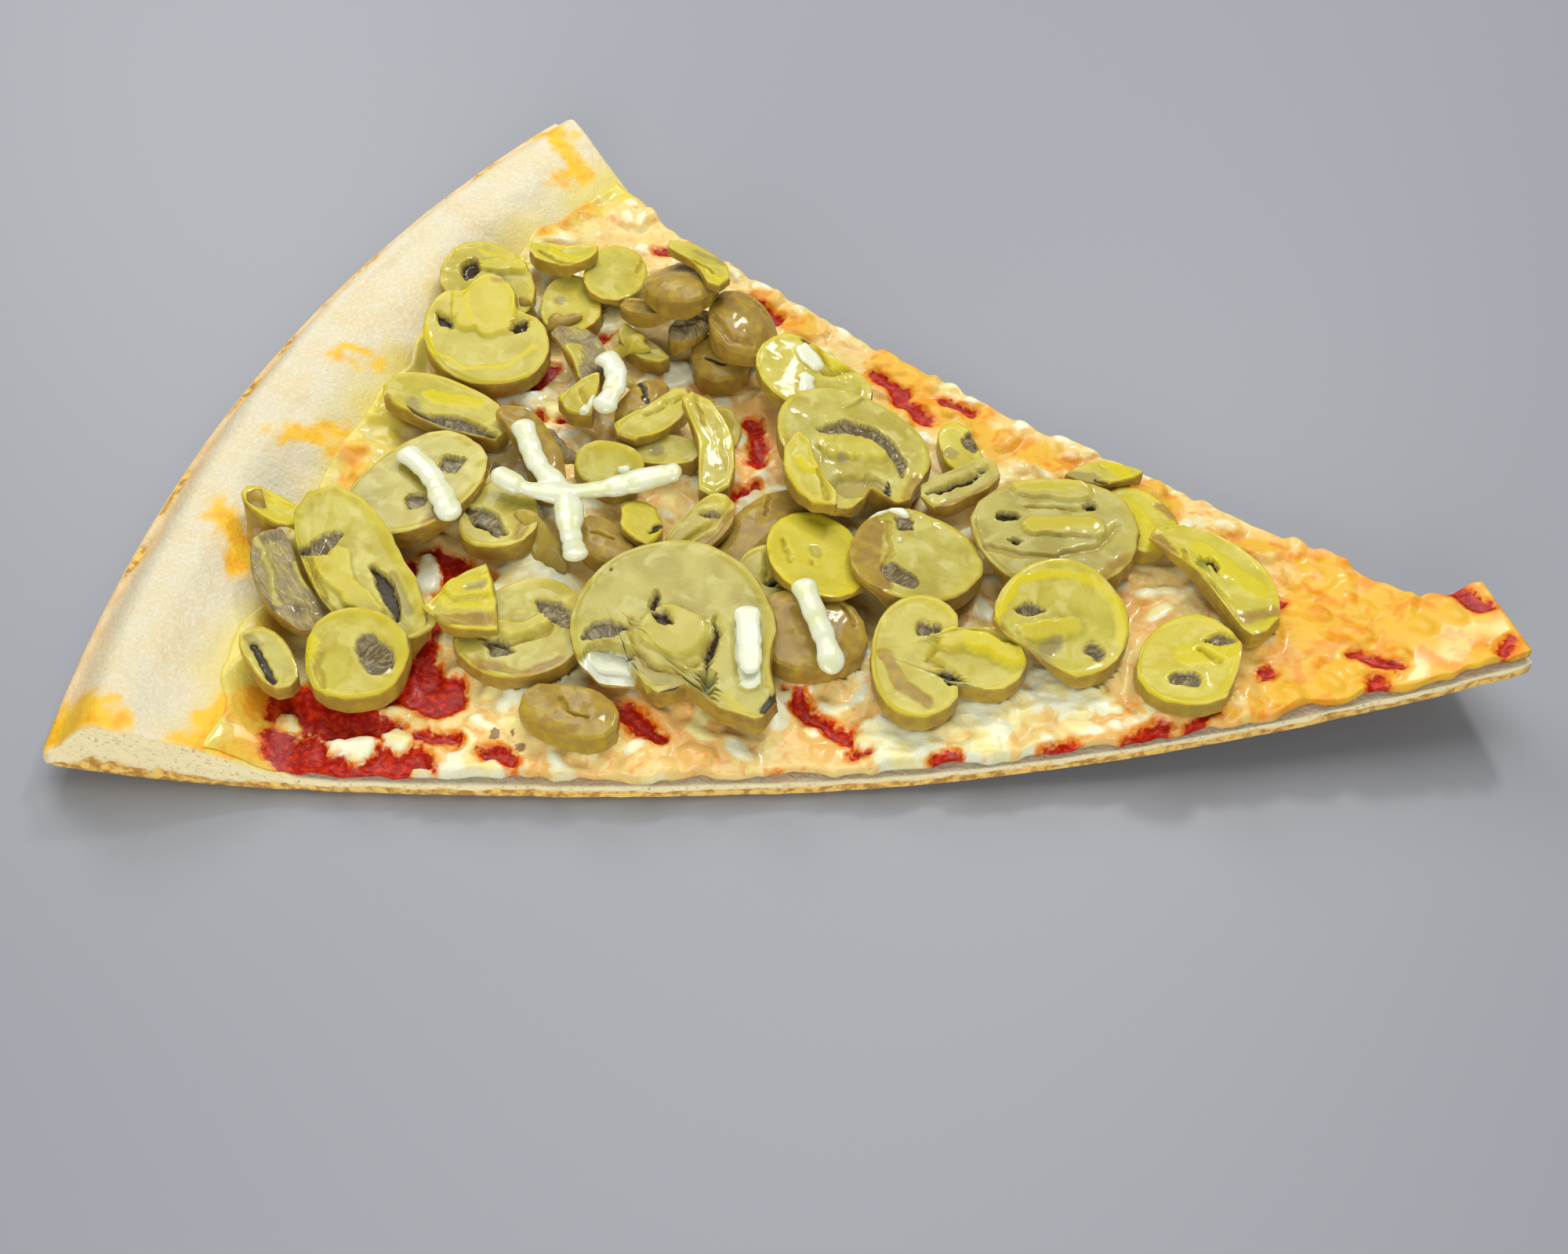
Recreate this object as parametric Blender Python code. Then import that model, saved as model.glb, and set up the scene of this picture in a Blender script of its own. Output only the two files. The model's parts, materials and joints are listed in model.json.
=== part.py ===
"""Mushroom pizza slice: an eighth of a thin 20 inch pie, lying on its flat underside.

The slice points along +X, from the rim at -X to the torn tip at +X, and +Z is up.
The origin is on the flat underside, halfway along the slice. Sizes here are in
millimetres and become metres where a mesh is made.
"""

from collections import namedtuple
from math import cos, exp, pi, radians, sin

import bmesh
import bpy
from mathutils import Vector, noise
from mathutils.bvhtree import BVHTree

MM = 0.001
GAP = 0.4

# Outline of the slice, seen from above
FRONT_CORNER = (-117.0, -93.5)
BACK_CORNER = (-99.5, 107.0)
FRONT_TIP = (130.0, 1.5)
BACK_TIP = (119.0, 20.0)
TEAR_NOTCH = (108.0, 13.5)
TEAR_AT = 0.93
RIM_ARC_DEPTH = 17.0
FRONT_BULGE = 10.4
BACK_HOLLOW = 8.3
BACK_HOLLOW_PEAK = 0.29

# Side profile: the underside lifts a little at the heel of the rim and curls up at the tip
SLICE_LENGTH = 250.0
BASE_THICKNESS = 3.2
RIM_EDGE_HEIGHT = 5.0
RIM_HEIGHT = 12.4
RIM_CREST = (11.0, 15.0)
RIM_WIDTH = 46.0
RIM_CORNER_FULLNESS = 0.9
RIM_MIDDLE_FULLNESS = 1.18
RIM_PUFF = 0.8
RIM_PUFFS = 1.75
HEEL_RISE = 2.5
HEEL_WIDTH = 30.0
TIP_RISE = 14.0
TIP_CURL = (10.0, 128.0)
TIP_CURL_POWER = 1.6

# Layers on the dough
TOPPING_START = 26.0
SAUCE_THICKNESS = 1.0
CHEESE_THICKNESS = 2.1
CHEESE_FADE = 16.0
CHEESE_LUMPS = 0.5
LAYER_INSET = 0.7

# Grid of the layers: rows run across the slice, closer together on the rim
RIM_ROWS = (0.0, 2.0, 5.0, 9.0, 14.0, 20.0, 26.0, 32.0, 38.0, 44.0)
PLAIN_ROWS = 22
COLUMNS = 13

COLOURS = {
    "dough": ((0.80, 0.62, 0.34), 0.85),
    "sauce": ((0.52, 0.05, 0.01), 0.35),
    "cheese": ((0.84, 0.72, 0.42), 0.35),
    "melted_cheese": ((0.90, 0.88, 0.72), 0.25),
    "mushroom_flesh": ((0.58, 0.50, 0.13), 0.35),
    "mushroom_skin": ((0.38, 0.27, 0.08), 0.35),
    "mushroom_gills": ((0.16, 0.13, 0.07), 0.6),
}


def material(name):
    colour, roughness = COLOURS[name]
    made = bpy.data.materials.get(name)
    if made:
        return made
    made = bpy.data.materials.new(name)
    made.use_nodes = True
    shader = made.node_tree.nodes["Principled BSDF"]
    shader.inputs["Base Color"].default_value = (*colour, 1)
    shader.inputs["Roughness"].default_value = roughness
    shader.inputs["Metallic"].default_value = 0
    return made


def add_solid(name, material_name, points, faces):
    """One closed mesh from points in millimetres, faces turned outwards."""
    mesh = bpy.data.meshes.new(name)
    mesh.from_pydata([Vector(p) * MM for p in points], [], faces)
    shaped = bmesh.new()
    shaped.from_mesh(mesh)
    bmesh.ops.triangulate(shaped, faces=shaped.faces)
    bmesh.ops.recalc_face_normals(shaped, faces=shaped.faces)
    shaped.to_mesh(mesh)
    shaped.free()
    mesh.shade_smooth()
    mesh.set_sharp_from_angle(angle=radians(50))
    obj = bpy.data.objects.new(name, mesh)
    obj.data.materials.append(material(material_name))
    bpy.context.collection.objects.link(obj)
    return obj


def smooth_step(value):
    value = min(1.0, max(0.0, value))
    return value * value * (3 - 2 * value)


def between(a, b, share):
    return a + (b - a) * share


# The slice in plan: share runs 0 to 1 from rim to tip, side 0 to 1 from front to back


def front_edge(share):
    bulge = 4 * share * (1 - share) * FRONT_BULGE
    along = Vector(FRONT_TIP) - Vector(FRONT_CORNER)
    outward = Vector((along.y, -along.x)).normalized()
    return Vector(FRONT_CORNER) + along * share + outward * bulge


def back_edge(share):
    if share > TEAR_AT:
        return Vector(TEAR_NOTCH).lerp(Vector(BACK_TIP), (share - TEAR_AT) / (1 - TEAR_AT))
    share /= TEAR_AT
    power = 1 / BACK_HOLLOW_PEAK - 1
    peak = BACK_HOLLOW_PEAK * (1 - BACK_HOLLOW_PEAK) ** power
    hollow = BACK_HOLLOW * share * (1 - share) ** power / peak
    along = Vector(TEAR_NOTCH) - Vector(BACK_CORNER)
    inward = Vector((along.y, -along.x)).normalized()
    return Vector(BACK_CORNER) + along * share + inward * hollow


def plan_point(share, side):
    front = front_edge(share)
    back = back_edge(share)
    across = (back - front).normalized()
    outward = Vector((-across.y, across.x))
    arc = 4 * side * (1 - side) * RIM_ARC_DEPTH * (1 - share)
    return front.lerp(back, side) + outward * arc


def underside(x, from_rim):
    heel = max(0.0, 1 - from_rim / HEEL_WIDTH)
    start, end = TIP_CURL
    tip = max(0.0, x - start) / (end - start)
    return HEEL_RISE * heel**1.5 + TIP_RISE * tip**TIP_CURL_POWER


def dough_height(from_rim, side):
    """Thickness of the dough: a low round rim that runs out into the thin base."""
    crest_start, crest_end = RIM_CREST
    fullness = between(RIM_CORNER_FULLNESS, RIM_MIDDLE_FULLNESS, sin(pi * side))
    falling = smooth_step((from_rim - crest_end) / (RIM_WIDTH - crest_end))
    swell = smooth_step(from_rim / crest_start) * (1 - falling)
    puff = RIM_PUFF * sin(2 * pi * RIM_PUFFS * side + 1.0) * swell
    base = between(RIM_EDGE_HEIGHT, BASE_THICKNESS, smooth_step(from_rim / RIM_WIDTH))
    return base + (RIM_HEIGHT - BASE_THICKNESS) * fullness * swell + puff


def rows():
    step = (SLICE_LENGTH - RIM_ROWS[-1]) / PLAIN_ROWS
    return [*RIM_ROWS, *(RIM_ROWS[-1] + step * (i + 1) for i in range(PLAIN_ROWS))]


def layer(name, material_name, first_row, inset, floor_of, top_of):
    """A closed sheet over the slice's grid, drawn in from the cut edges by its inset."""
    distances = [d for d in rows() if d >= first_row]
    lower = []
    upper = []
    for d in distances:
        share = d / SLICE_LENGTH
        width = (back_edge(share) - front_edge(share)).length
        for column in range(COLUMNS + 1):
            side = column / COLUMNS
            side = between(inset / width, 1 - inset / width, side)
            end = min(share, 1 - inset / SLICE_LENGTH)
            at = plan_point(end, side)
            lower.append((at.x, at.y, floor_of(at, d, side)))
            upper.append((at.x, at.y, top_of(at, d, side)))
    wide = COLUMNS + 1
    count = len(lower)

    def index(row, column, top):
        return row * wide + column + (count if top else 0)

    faces = []
    for row in range(len(distances) - 1):
        for column in range(COLUMNS):
            for top in (False, True):
                corners = ((row, column), (row, column + 1), (row + 1, column + 1), (row + 1, column))
                faces.append([index(r, c, top) for r, c in corners])
    rim = [(0, c) for c in range(wide)]
    rim += [(r, COLUMNS) for r in range(1, len(distances))]
    rim += [(len(distances) - 1, c) for c in range(COLUMNS - 1, -1, -1)]
    rim += [(r, 0) for r in range(len(distances) - 2, 0, -1)]
    for a, b in zip(rim, rim[1:] + rim[:1]):
        faces.append([index(*a, False), index(*b, False), index(*b, True), index(*a, True)])
    return add_solid(name, material_name, lower + upper, faces)


def dough_top(at, from_rim, side):
    return underside(at.x, from_rim) + dough_height(from_rim, side)


def sauce_top(at, from_rim, side):
    return dough_top(at, from_rim, side) + GAP + SAUCE_THICKNESS


def cheese_top(at, from_rim, side):
    """Thin where it begins on the rim, with soft lumps further in."""
    body = between(0.35, 1.0, smooth_step((from_rim - TOPPING_START) / CHEESE_FADE))
    lump = noise.noise(Vector((at.x, at.y, 0)) * 0.11) * CHEESE_LUMPS * body
    return sauce_top(at, from_rim, side) + GAP + CHEESE_THICKNESS * body + lump


def add_layers():
    dough = layer(
        "dough",
        "dough",
        0.0,
        0.0,
        lambda at, d, side: underside(at.x, d),
        dough_top,
    )
    sauce = layer(
        "sauce",
        "sauce",
        TOPPING_START,
        LAYER_INSET,
        lambda at, d, side: dough_top(at, d, side) + GAP,
        sauce_top,
    )
    cheese = layer(
        "cheese",
        "cheese",
        TOPPING_START,
        LAYER_INSET,
        lambda at, d, side: sauce_top(at, d, side) + GAP,
        cheese_top,
    )
    return [dough, sauce, cheese]


# Mushroom pieces. x and y place the middle, and turn is the direction of the long or stem
# axis, in degrees from +X. length is measured along that axis and width across it.
#   oval    a round or oval cut through a cap
#   whole   a cut through cap and stem, stem towards turn; extra is the stem's width, its
#           reach, and how much further the cap's left arm hangs down beside it
#   half    a cut with one straight or hollow side towards turn; extra is that side's distance
#   wedge   an angular scrap with extra corners
#   band    an oval strip bent sideways by extra
# crown is how far the top swells above a flat cut, and curl lifts the two ends.

Piece = namedtuple("Piece", "name kind x y turn length width thick crown curl extra tint")

FLESH, SKIN, GILLS = "mushroom_flesh", "mushroom_skin", "mushroom_gills"

PIECES = [
    Piece("back_disc", "oval", -87.5, 39, 100, 20, 20, 3.6, 0, 0, 0, FLESH),
    Piece("spot_disc", "oval", -70.5, 42, -72, 19, 12.5, 3.8, 0, 0, 0, FLESH),
    Piece("tall_disc", "oval", -64.5, 53.5, -86, 20, 12.5, 3.6, 0.6, 0, 0, FLESH),
    Piece("horned_cut", "half", -76, 53.5, 100, 11, 15, 3.4, 0, 0.8, 2.6, FLESH),
    Piece("lower_dome", "oval", -35.5, 36, -50, 14, 12, 4, 2.5, 0, 0, SKIN),
    Piece("dark_cap", "oval", -43.5, 41, 80, 12, 8.5, 4, 2, 0, 0, GILLS),
    Piece("pale_crescent", "half", -52, 36, 60, 7.5, 14, 4, 0, 0, 1.5, FLESH),
    Piece("tan_crescent", "half", -53, 43, 80, 8, 14, 4, 0, 0, 2, SKIN),
    Piece("wrinkled_dome", "oval", -32.5, 42, -68, 21, 14, 4, 3.5, 0, 0, SKIN),
    Piece("leafy_dome", "oval", -47, 46, -45, 18, 16, 4, 3, 0, 0, SKIN),
    Piece("ragged_shard", "band", -43.5, 49, -40, 19, 6.5, 2.8, 0.5, 0, -1.0, FLESH),
    Piece("hat", "whole", -82, 25, 98, 24.5, 25.5, 4.2, 0, 0, (14.5, 12.5, 0), FLESH),
    Piece("gill_slice", "band", -61.5, 26, -47, 18, 8, 4, 0, 0, -0.8, GILLS),
    Piece("corner_scrap", "wedge", -57, 13, 75, 13, 9, 4, 0, 0, 3, FLESH),
    Piece("brown_cap", "oval", -46, 18.5, 78, 16, 8, 4, 2, 0, 0, SKIN),
    Piece("hidden_slab", "oval", -39.5, 7.5, 12, 20, 8.5, 4, 0, 0, 0, FLESH),
    Piece("arch_left", "band", -41.5, 13.5, 62, 18.5, 7, 4, 0, 0, 0.6, FLESH),
    Piece("arch_right", "band", -28.5, 9, -62, 26, 7.5, 4, 0.5, 0, -1.0, FLESH),
    Piece("small_oval", "oval", -46, -1, -8, 15, 10.5, 4, 0, 0, 0, FLESH),
    Piece("gilled_cap", "half", -81.5, 2, -90, 15, 27, 4.2, 0, 0, 4.5, FLESH),
    Piece("tan_band", "band", -61, -2, -47, 24, 7.5, 4, 1, 0, -0.8, SKIN),
    Piece("streaked_cut", "oval", -61, -20.5, -75, 17.5, 15.5, 4, 0, 0, 0, FLESH),
    Piece("big_oval", "oval", -78, -19, 76, 32, 22, 4.2, 0, 0, 0, FLESH),
    Piece("tan_slice", "oval", -40.5, -19, -25, 14, 9, 4, 0.5, 0, 0, SKIN),
    Piece("skin_band", "band", -13.5, -8, 68, 28, 10.5, 4, 2, 0, -0.5, SKIN),
    Piece("curved_slice", "half", -25, -11.5, 160, 14, 16, 4, 0, 0, 3, FLESH),
    Piece("knobbly_scrap", "wedge", -35, -13.5, -60, 14, 9, 4, 1, 0, 5, FLESH),
    Piece("slit_disc", "oval", -7.5, -19, -60, 14, 12, 4, 0, 0, 0, FLESH),
    Piece("tan_disc", "oval", 3, -29, 30, 20, 18, 4.5, 0.8, 0, 0, SKIN),
    Piece("bright_oval", "oval", -0.5, -13, -66, 24, 18, 4, 0, 0, 0, FLESH),
    Piece("dark_gills", "band", -90.5, -50, -42, 25, 8.5, 3.2, 0, 0, 0.8, GILLS),
    Piece("grey_scrap", "oval", -85.5, -66.5, -35, 14, 8, 4, 0, 0, 0, FLESH),
    Piece("yellow_end", "half", -99.5, -35.5, 85, 7, 13, 3.5, 0, 0, 2.5, FLESH),
    Piece("long_cut", "oval", -79, -43.5, -38, 38, 17, 4.4, 0, 0, 0, FLESH),
    Piece("window_cut", "oval", -71.5, -61, 20, 19, 17, 4.4, 0, 0, 0, FLESH),
    Piece("round_cut", "oval", -46.5, -44, 60, 25.5, 21.5, 4.2, 0, 0, 0, FLESH),
    Piece("leaf_disc", "wedge", -57.5, -44, 92, 21, 15.5, 4, 0, 0, 3, FLESH),
    Piece("mustard_oval", "oval", -32, -59, -6, 19, 11.5, 4, 0.8, 0, 0, SKIN),
    Piece("largest_whole", "whole", -20, -39.5, -80, 33, 37, 4.8, 0, 0, (16.5, 15.5, 0.55), FLESH),
    Piece("cheesy_crescent", "half", -14, 33, 80, 21, 24, 4, 0, 0, 7, FLESH),
    Piece("arched_whole", "whole", -2, 15, -86, 31, 30, 4.4, 0, 0, (16, 16.5, 0.3), FLESH),
    Piece("ragged_scrap", "band", -7, 2.5, -52, 20, 6, 3.2, 0.5, 0, 1.0, FLESH),
    Piece("cap_quarter", "half", 18.5, 27.5, 35, 9.5, 15, 4, 0, 0, 3, FLESH),
    Piece("gill_strip", "band", 20.5, 16, 47, 17, 7, 3.8, 0, 0, 0.3, FLESH),
    Piece("two_hole_cut", "oval", 17, -7, 80, 26.5, 24, 4.4, 0, 0, 0, FLESH),
    Piece("sheer_disc", "oval", 55.5, 17, -55, 19, 13, 3.5, 0.5, 0, 0, FLESH),
    Piece("crumpled_scrap", "wedge", 46.5, 27, 12, 15, 9, 3.6, 0.6, 0, 4, FLESH),
    Piece("ring_cut", "oval", 41, 7, 30, 31, 29, 4.8, 0, 0, 0, FLESH),
    Piece("bent_stem", "whole", 26, -30, 15, 25, 24.5, 4.4, 0, 0, (13.5, 15.5, 0), FLESH),
    Piece("rimmed_cap", "half", 46.5, -15.5, -110, 24.5, 24.5, 4.4, 0, 0, 9.5, FLESH),
    Piece("elbow_slice", "band", 73, 5, -42, 32, 12, 4, 0, 0, -1.8, FLESH),
    Piece("gap_cut", "half", 70.5, -16.5, -5, 18.5, 22.5, 4.2, 0, 0, 8, FLESH),
]

OUTLINE_POINTS = 18
LARGE_OUTLINE_POINTS = 24
WHOLE_OUTLINE_POINTS = 30
LARGE_PIECE = 24.0
STEEPEST_LEAN = 0.3
ARM_ANGLE = 0.9
ARM_SPREAD = 0.28
PRESSED_SHARE = 0.55
LEAST_THICKNESS = 0.9
TOP_EDGE_ROUNDING = 0.22
SAMPLE_STEP = 0.8
SAMPLE_MARGIN = 1.04


def oval_reach(angle, half_length, half_width, power):
    across = abs(cos(angle)) / half_length
    along = abs(sin(angle)) / half_width
    return (across**power + along**power) ** (-1 / power)


def off_centre_reach(angle, centre, half_length, half_width):
    """Distance from the middle to an ellipse whose own centre lies along the axis."""
    c = cos(angle)
    s = sin(angle)
    a = (c / half_length) ** 2 + (s / half_width) ** 2
    b = centre * c / half_length**2
    rest = (centre / half_length) ** 2 - 1
    return (b + (b * b - a * rest) ** 0.5) / a


def reach(piece, angle):
    """How far the piece's outline lies from its middle, at an angle from its axis."""
    half_length = piece.length / 2
    half_width = piece.width / 2
    if piece.kind == "whole":
        stem_width, stem_reach, arm = piece.extra
        cap_height = piece.length - stem_reach
        cap = off_centre_reach(angle, -0.18 * cap_height, cap_height, half_width)
        cap *= 1 + arm * exp(-(((angle - ARM_ANGLE) / ARM_SPREAD) ** 2))
        stem = off_centre_reach(angle, stem_reach * 0.45, stem_reach * 0.62, stem_width / 2)
        crossing = (cap - stem) / (0.11 * (cap + stem))
        return max(cap, stem) * (1 - 0.25 * exp(-crossing * crossing))
    if piece.kind == "half":
        full = oval_reach(angle, half_length, half_width, 2.1)
        side = cos(angle)
        return min(full, piece.extra / side) if side > 0.05 else full
    if piece.kind == "wedge":
        step = 2 * pi / piece.extra
        off = (angle + step / 2) % step - step / 2
        corner = cos(step / 2) / cos(abs(off) - step / 2)
        return oval_reach(angle, half_length, half_width, 2.0) * between(corner, 1.0, 0.3)
    power = 3.4 if piece.kind == "band" else 2.3
    return oval_reach(angle, half_length, half_width, power)


def plan_offset(piece, angle, scale):
    """Offset of an outline point from the piece's middle, in the slice's own directions."""
    wobble = 1 + 0.035 * sin(2 * angle + piece.x) + 0.03 * sin(3 * angle + piece.y)
    r = reach(piece, angle) * scale * wobble
    along = r * cos(angle)
    across = r * sin(angle)
    if piece.kind == "band":
        across += piece.extra * (3 * (2 * along / piece.length) ** 2 - 1)
    turn = radians(piece.turn)
    return Vector((along * cos(turn) - across * sin(turn), along * sin(turn) + across * cos(turn)))


def height_over(tree, x, y):
    """Top of the surface at this place, or None where there is nothing."""
    hit = tree.ray_cast(Vector((x, y, 100.0)) * MM, Vector((0, 0, -1)))[0]
    return hit.z / MM if hit else None


def highest(trees, x, y, sink=0.0):
    """The cheese, or what lies on it less the depth that a new piece may press into it."""
    cheese = height_over(trees[0], x, y)
    found = [cheese] + [height_over(tree, x, y) for tree in trees[1:]]
    lowered = [h if h is None or i == 0 else h - sink for i, h in enumerate(found)]
    return max((h for h in lowered if h is not None), default=None)


def footprint(piece, inner, outer, first, last):
    """Places over one stretch of the piece's outline, between two scales and two angles."""
    size = max(piece.length, piece.width) / 2
    depth = max(1, round(size * (outer - inner) / SAMPLE_STEP))
    sweep = max(1, round(size * outer * (last - first) / SAMPLE_STEP))
    for i in range(depth + 1):
        for k in range(sweep + 1):
            angle = between(first, last, k / sweep)
            offset = plan_offset(piece, angle, between(inner, outer, i / depth))
            yield offset, piece.x + offset.x, piece.y + offset.y


def resting_plane(piece, trees):
    """Slopes and middle height of the plane on which a flat piece comes to rest.

    The surface below is sampled over the footprint. A flat piece rests on the face of the
    samples' convex hull that lies under its middle, pressed a little into softer pieces.
    """
    sink = PRESSED_SHARE * piece.thick
    samples = []
    for offset, x, y in footprint(piece, 0.0, 1.0, 0.0, 2 * pi):
        height = highest(trees, x, y, sink)
        if height is not None:
            samples.append(Vector((offset.x, offset.y, height)))
    hull = bmesh.new()
    for sample in samples:
        hull.verts.new(sample)
    bmesh.ops.convex_hull(hull, input=hull.verts)
    tree = BVHTree.FromBMesh(hull)
    middle = sum(samples, Vector()) / len(samples)
    normal = tree.ray_cast(Vector((middle.x, middle.y, 500)), Vector((0, 0, -1)))[1]
    hull.free()
    slope = Vector((-normal.x / normal.z, -normal.y / normal.z))
    if slope.length > STEEPEST_LEAN:
        slope *= STEEPEST_LEAN / slope.length
    return slope, max(s.z - slope.x * s.x - slope.y * s.y for s in samples)


def add_mushroom(piece, trees):
    """A slab with a rounded top edge, hollowed below wherever another piece lies under it."""
    slope, middle = resting_plane(piece, trees)
    large = max(piece.length, piece.width) >= LARGE_PIECE
    count = LARGE_OUTLINE_POINTS if large else OUTLINE_POINTS
    count = WHOLE_OUTLINE_POINTS if piece.kind == "whole" else count
    bevel = piece.thick * TOP_EDGE_ROUNDING
    under_scales = (0.0, 0.55, 1.0)
    top_rings = [(1.0, 0.0, piece.thick - bevel), (0.92, 0.35, piece.thick)]
    if piece.crown:
        top_rings.append((0.55, 0.85, piece.thick))

    def plane(offset):
        curl = piece.curl * (2 * offset.length / piece.length) ** 2
        return middle + slope.dot(offset) + curl

    # The highest thing under each cell of the underside
    cells = []
    for inner, outer in ((0.0, 0.55), (0.55, SAMPLE_MARGIN)):
        band = []
        for i in range(count):
            stretch = footprint(piece, inner, outer, 2 * pi * i / count, 2 * pi * (i + 1) / count)
            band.append(max(highest(trees, x, y) or 0.0 for _, x, y in stretch))
        cells.append(band)

    def under(ring, i):
        offset = plan_offset(piece, 2 * pi * i / count, under_scales[ring])
        if ring == 0:
            return offset, max(plane(offset), *cells[0])
        near = [band[k] for band in cells[ring - 1 : ring + 1] for k in (i, (i - 1) % count)]
        return offset, max(plane(offset), *near)

    points = []
    floor = {}
    for ring in (0, 1, 2):
        for i in range(count if ring else 1):
            offset, floor[ring, i] = under(ring, i)
            points.append((piece.x + offset.x, piece.y + offset.y, floor[ring, i]))
            if ring < 2:
                middle += max(0.0, floor[ring, i] + LEAST_THICKNESS - piece.thick - plane(offset))
    for step, (scale, crown, lift) in enumerate(top_rings):
        for i in range(count):
            offset = plan_offset(piece, 2 * pi * i / count, scale)
            height = plane(offset) + lift + crown * piece.crown
            least = max(floor[1, i], floor[2, i]) + LEAST_THICKNESS * (0.5 + 0.25 * step)
            points.append((piece.x + offset.x, piece.y + offset.y, max(height, least)))
    points.append((piece.x, piece.y, middle + piece.thick + piece.crown))
    top = len(points) - 1
    faces = []
    last = 1 + (len(top_rings) + 1) * count
    for i in range(count):
        j = (i + 1) % count
        faces.append([0, 1 + j, 1 + i])
        for low in range(1, last, count):
            faces.append([low + i, low + j, low + count + j, low + count + i])
        faces.append([last + i, last + j, top])
    return add_solid("mushroom_" + piece.name, piece.tint, points, faces)


# Strings of melted cheese across the mushrooms: route in plan, then width and thickness

Strand = namedtuple("Strand", "name width thick routes")

STRANDS = [
    Strand(
        "strand_cross",
        5.0,
        2.4,
        [
            [(-64, -1), (-58, -8), (-50, -14), (-46, -22), (-41, -30)],
            [(-64, -15), (-56, -15), (-46, -10), (-38, -5), (-31, -1)],
        ],
    ),
    Strand("strand_oval", 5.0, 2.4, [[(-84, -13), (-77, -17), (-72, -22), (-67, -28)]]),
    Strand("strand_corner", 5.0, 2.4, [[(-57, 24), (-53, 21), (-51, 16), (-51, 9)]]),
    Strand("strand_disc", 4.6, 2.2, [[(-1, -23), (3, -28), (7, -33), (10, -38)]]),
    Strand("strand_cap", 5.0, 2.2, [[(-9, -33), (-6, -39), (-3, -45)]]),
]

STRAND_STEP = 2.6
STRAND_SIDES = 8
STRAND_SETTLING = 8


def smooth_route(points):
    """Points at even steps along a smooth curve through the route's own points."""
    ends = [points[0], *points, points[-1]]
    curve = []
    for a, b, c, d in zip(ends, ends[1:], ends[2:], ends[3:]):
        a, b, c, d = (Vector(p) for p in (a, b, c, d))
        count = max(1, round((c - b).length / STRAND_STEP))
        for i in range(count):
            t = i / count
            start = b * (2 * t**3 - 3 * t**2 + 1) + (c - a) * 0.5 * (t**3 - 2 * t**2 + t)
            end = c * (3 * t**2 - 2 * t**3) + (d - b) * 0.5 * (t**3 - t**2)
            curve.append(start + end)
    curve.append(Vector(points[-1]))
    return curve


def settled(least):
    """Heights of a soft string that lies over the given heights and bridges small hollows."""
    heights = list(least)
    for _ in range(STRAND_SETTLING):
        for i in range(1, len(heights) - 1):
            heights[i] = max(least[i], (heights[i - 1] + heights[i + 1]) / 2)
    return heights


def string_mesh(name, route, width, thick, trees):
    """A flattened string that lies on the highest thing under each stretch of it."""
    centres = smooth_route(route)
    half = width / 2
    sideways = []
    for i in range(len(centres)):
        before = centres[max(0, i - 1)]
        after = centres[min(len(centres) - 1, i + 1)]
        ahead = (after - before).normalized()
        sideways.append(Vector((-ahead.y, ahead.x)))
    least = []
    for point, aside in zip(centres, sideways):
        ahead = Vector((aside.y, -aside.x))
        spots = [
            point + ahead * along * STRAND_STEP + aside * across * half
            for along in (-1.1, -0.7, -0.35, 0.0, 0.35, 0.7, 1.1)
            for across in (-1.1, -0.7, -0.35, 0.0, 0.35, 0.7, 1.1)
        ]
        least.append(max(highest(trees, spot.x, spot.y) or 0.0 for spot in spots))
    heights = settled(least)
    points = []
    for i, (point, aside) in enumerate(zip(centres, sideways)):
        taper = 0.55 if i in (0, len(centres) - 1) else 1.0
        for k in range(STRAND_SIDES):
            angle = 2 * pi * (k + 0.5) / STRAND_SIDES
            spot = point + aside * cos(angle) * half * taper
            lift = thick * taper * (0.5 + 0.5 * sin(angle) / sin(pi * 3 / 8))
            points.append((spot.x, spot.y, heights[i] + lift))
    faces = []
    for i in range(len(centres) - 1):
        low = i * STRAND_SIDES
        for k in range(STRAND_SIDES):
            j = (k + 1) % STRAND_SIDES
            faces.append([low + k, low + j, low + STRAND_SIDES + j, low + STRAND_SIDES + k])
    faces.append(list(range(STRAND_SIDES)))
    faces.append([len(points) - 1 - k for k in range(STRAND_SIDES)])
    return add_solid(name, "melted_cheese", points, faces)


def add_strand(strand, trees):
    """One string, or crossing strings joined into one solid."""
    first, *others = [
        string_mesh(strand.name, route, strand.width, strand.thick, trees)
        for route in strand.routes
    ]
    for other in others:
        join = first.modifiers.new("join", "BOOLEAN")
        join.operation = "UNION"
        join.object = other
        graph = bpy.context.evaluated_depsgraph_get()
        joined = bpy.data.meshes.new_from_object(first.evaluated_get(graph))
        first.modifiers.clear()
        first.data = joined
        bpy.data.objects.remove(other)
    return first


def swollen_tree(obj):
    """The solid's surface moved outwards by the gap that its neighbours keep from it."""
    mesh = obj.data
    points = [v.co + v.normal * GAP * MM for v in mesh.vertices]
    return BVHTree.FromPolygons(points, [p.vertices for p in mesh.polygons])


def main():
    for obj in list(bpy.data.objects):
        bpy.data.objects.remove(obj)
    trees = [swollen_tree(add_layers()[-1])]
    for piece in PIECES:
        trees.append(swollen_tree(add_mushroom(piece, trees)))
    for strand in STRANDS:
        trees.append(swollen_tree(add_strand(strand, trees)))


main()
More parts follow.
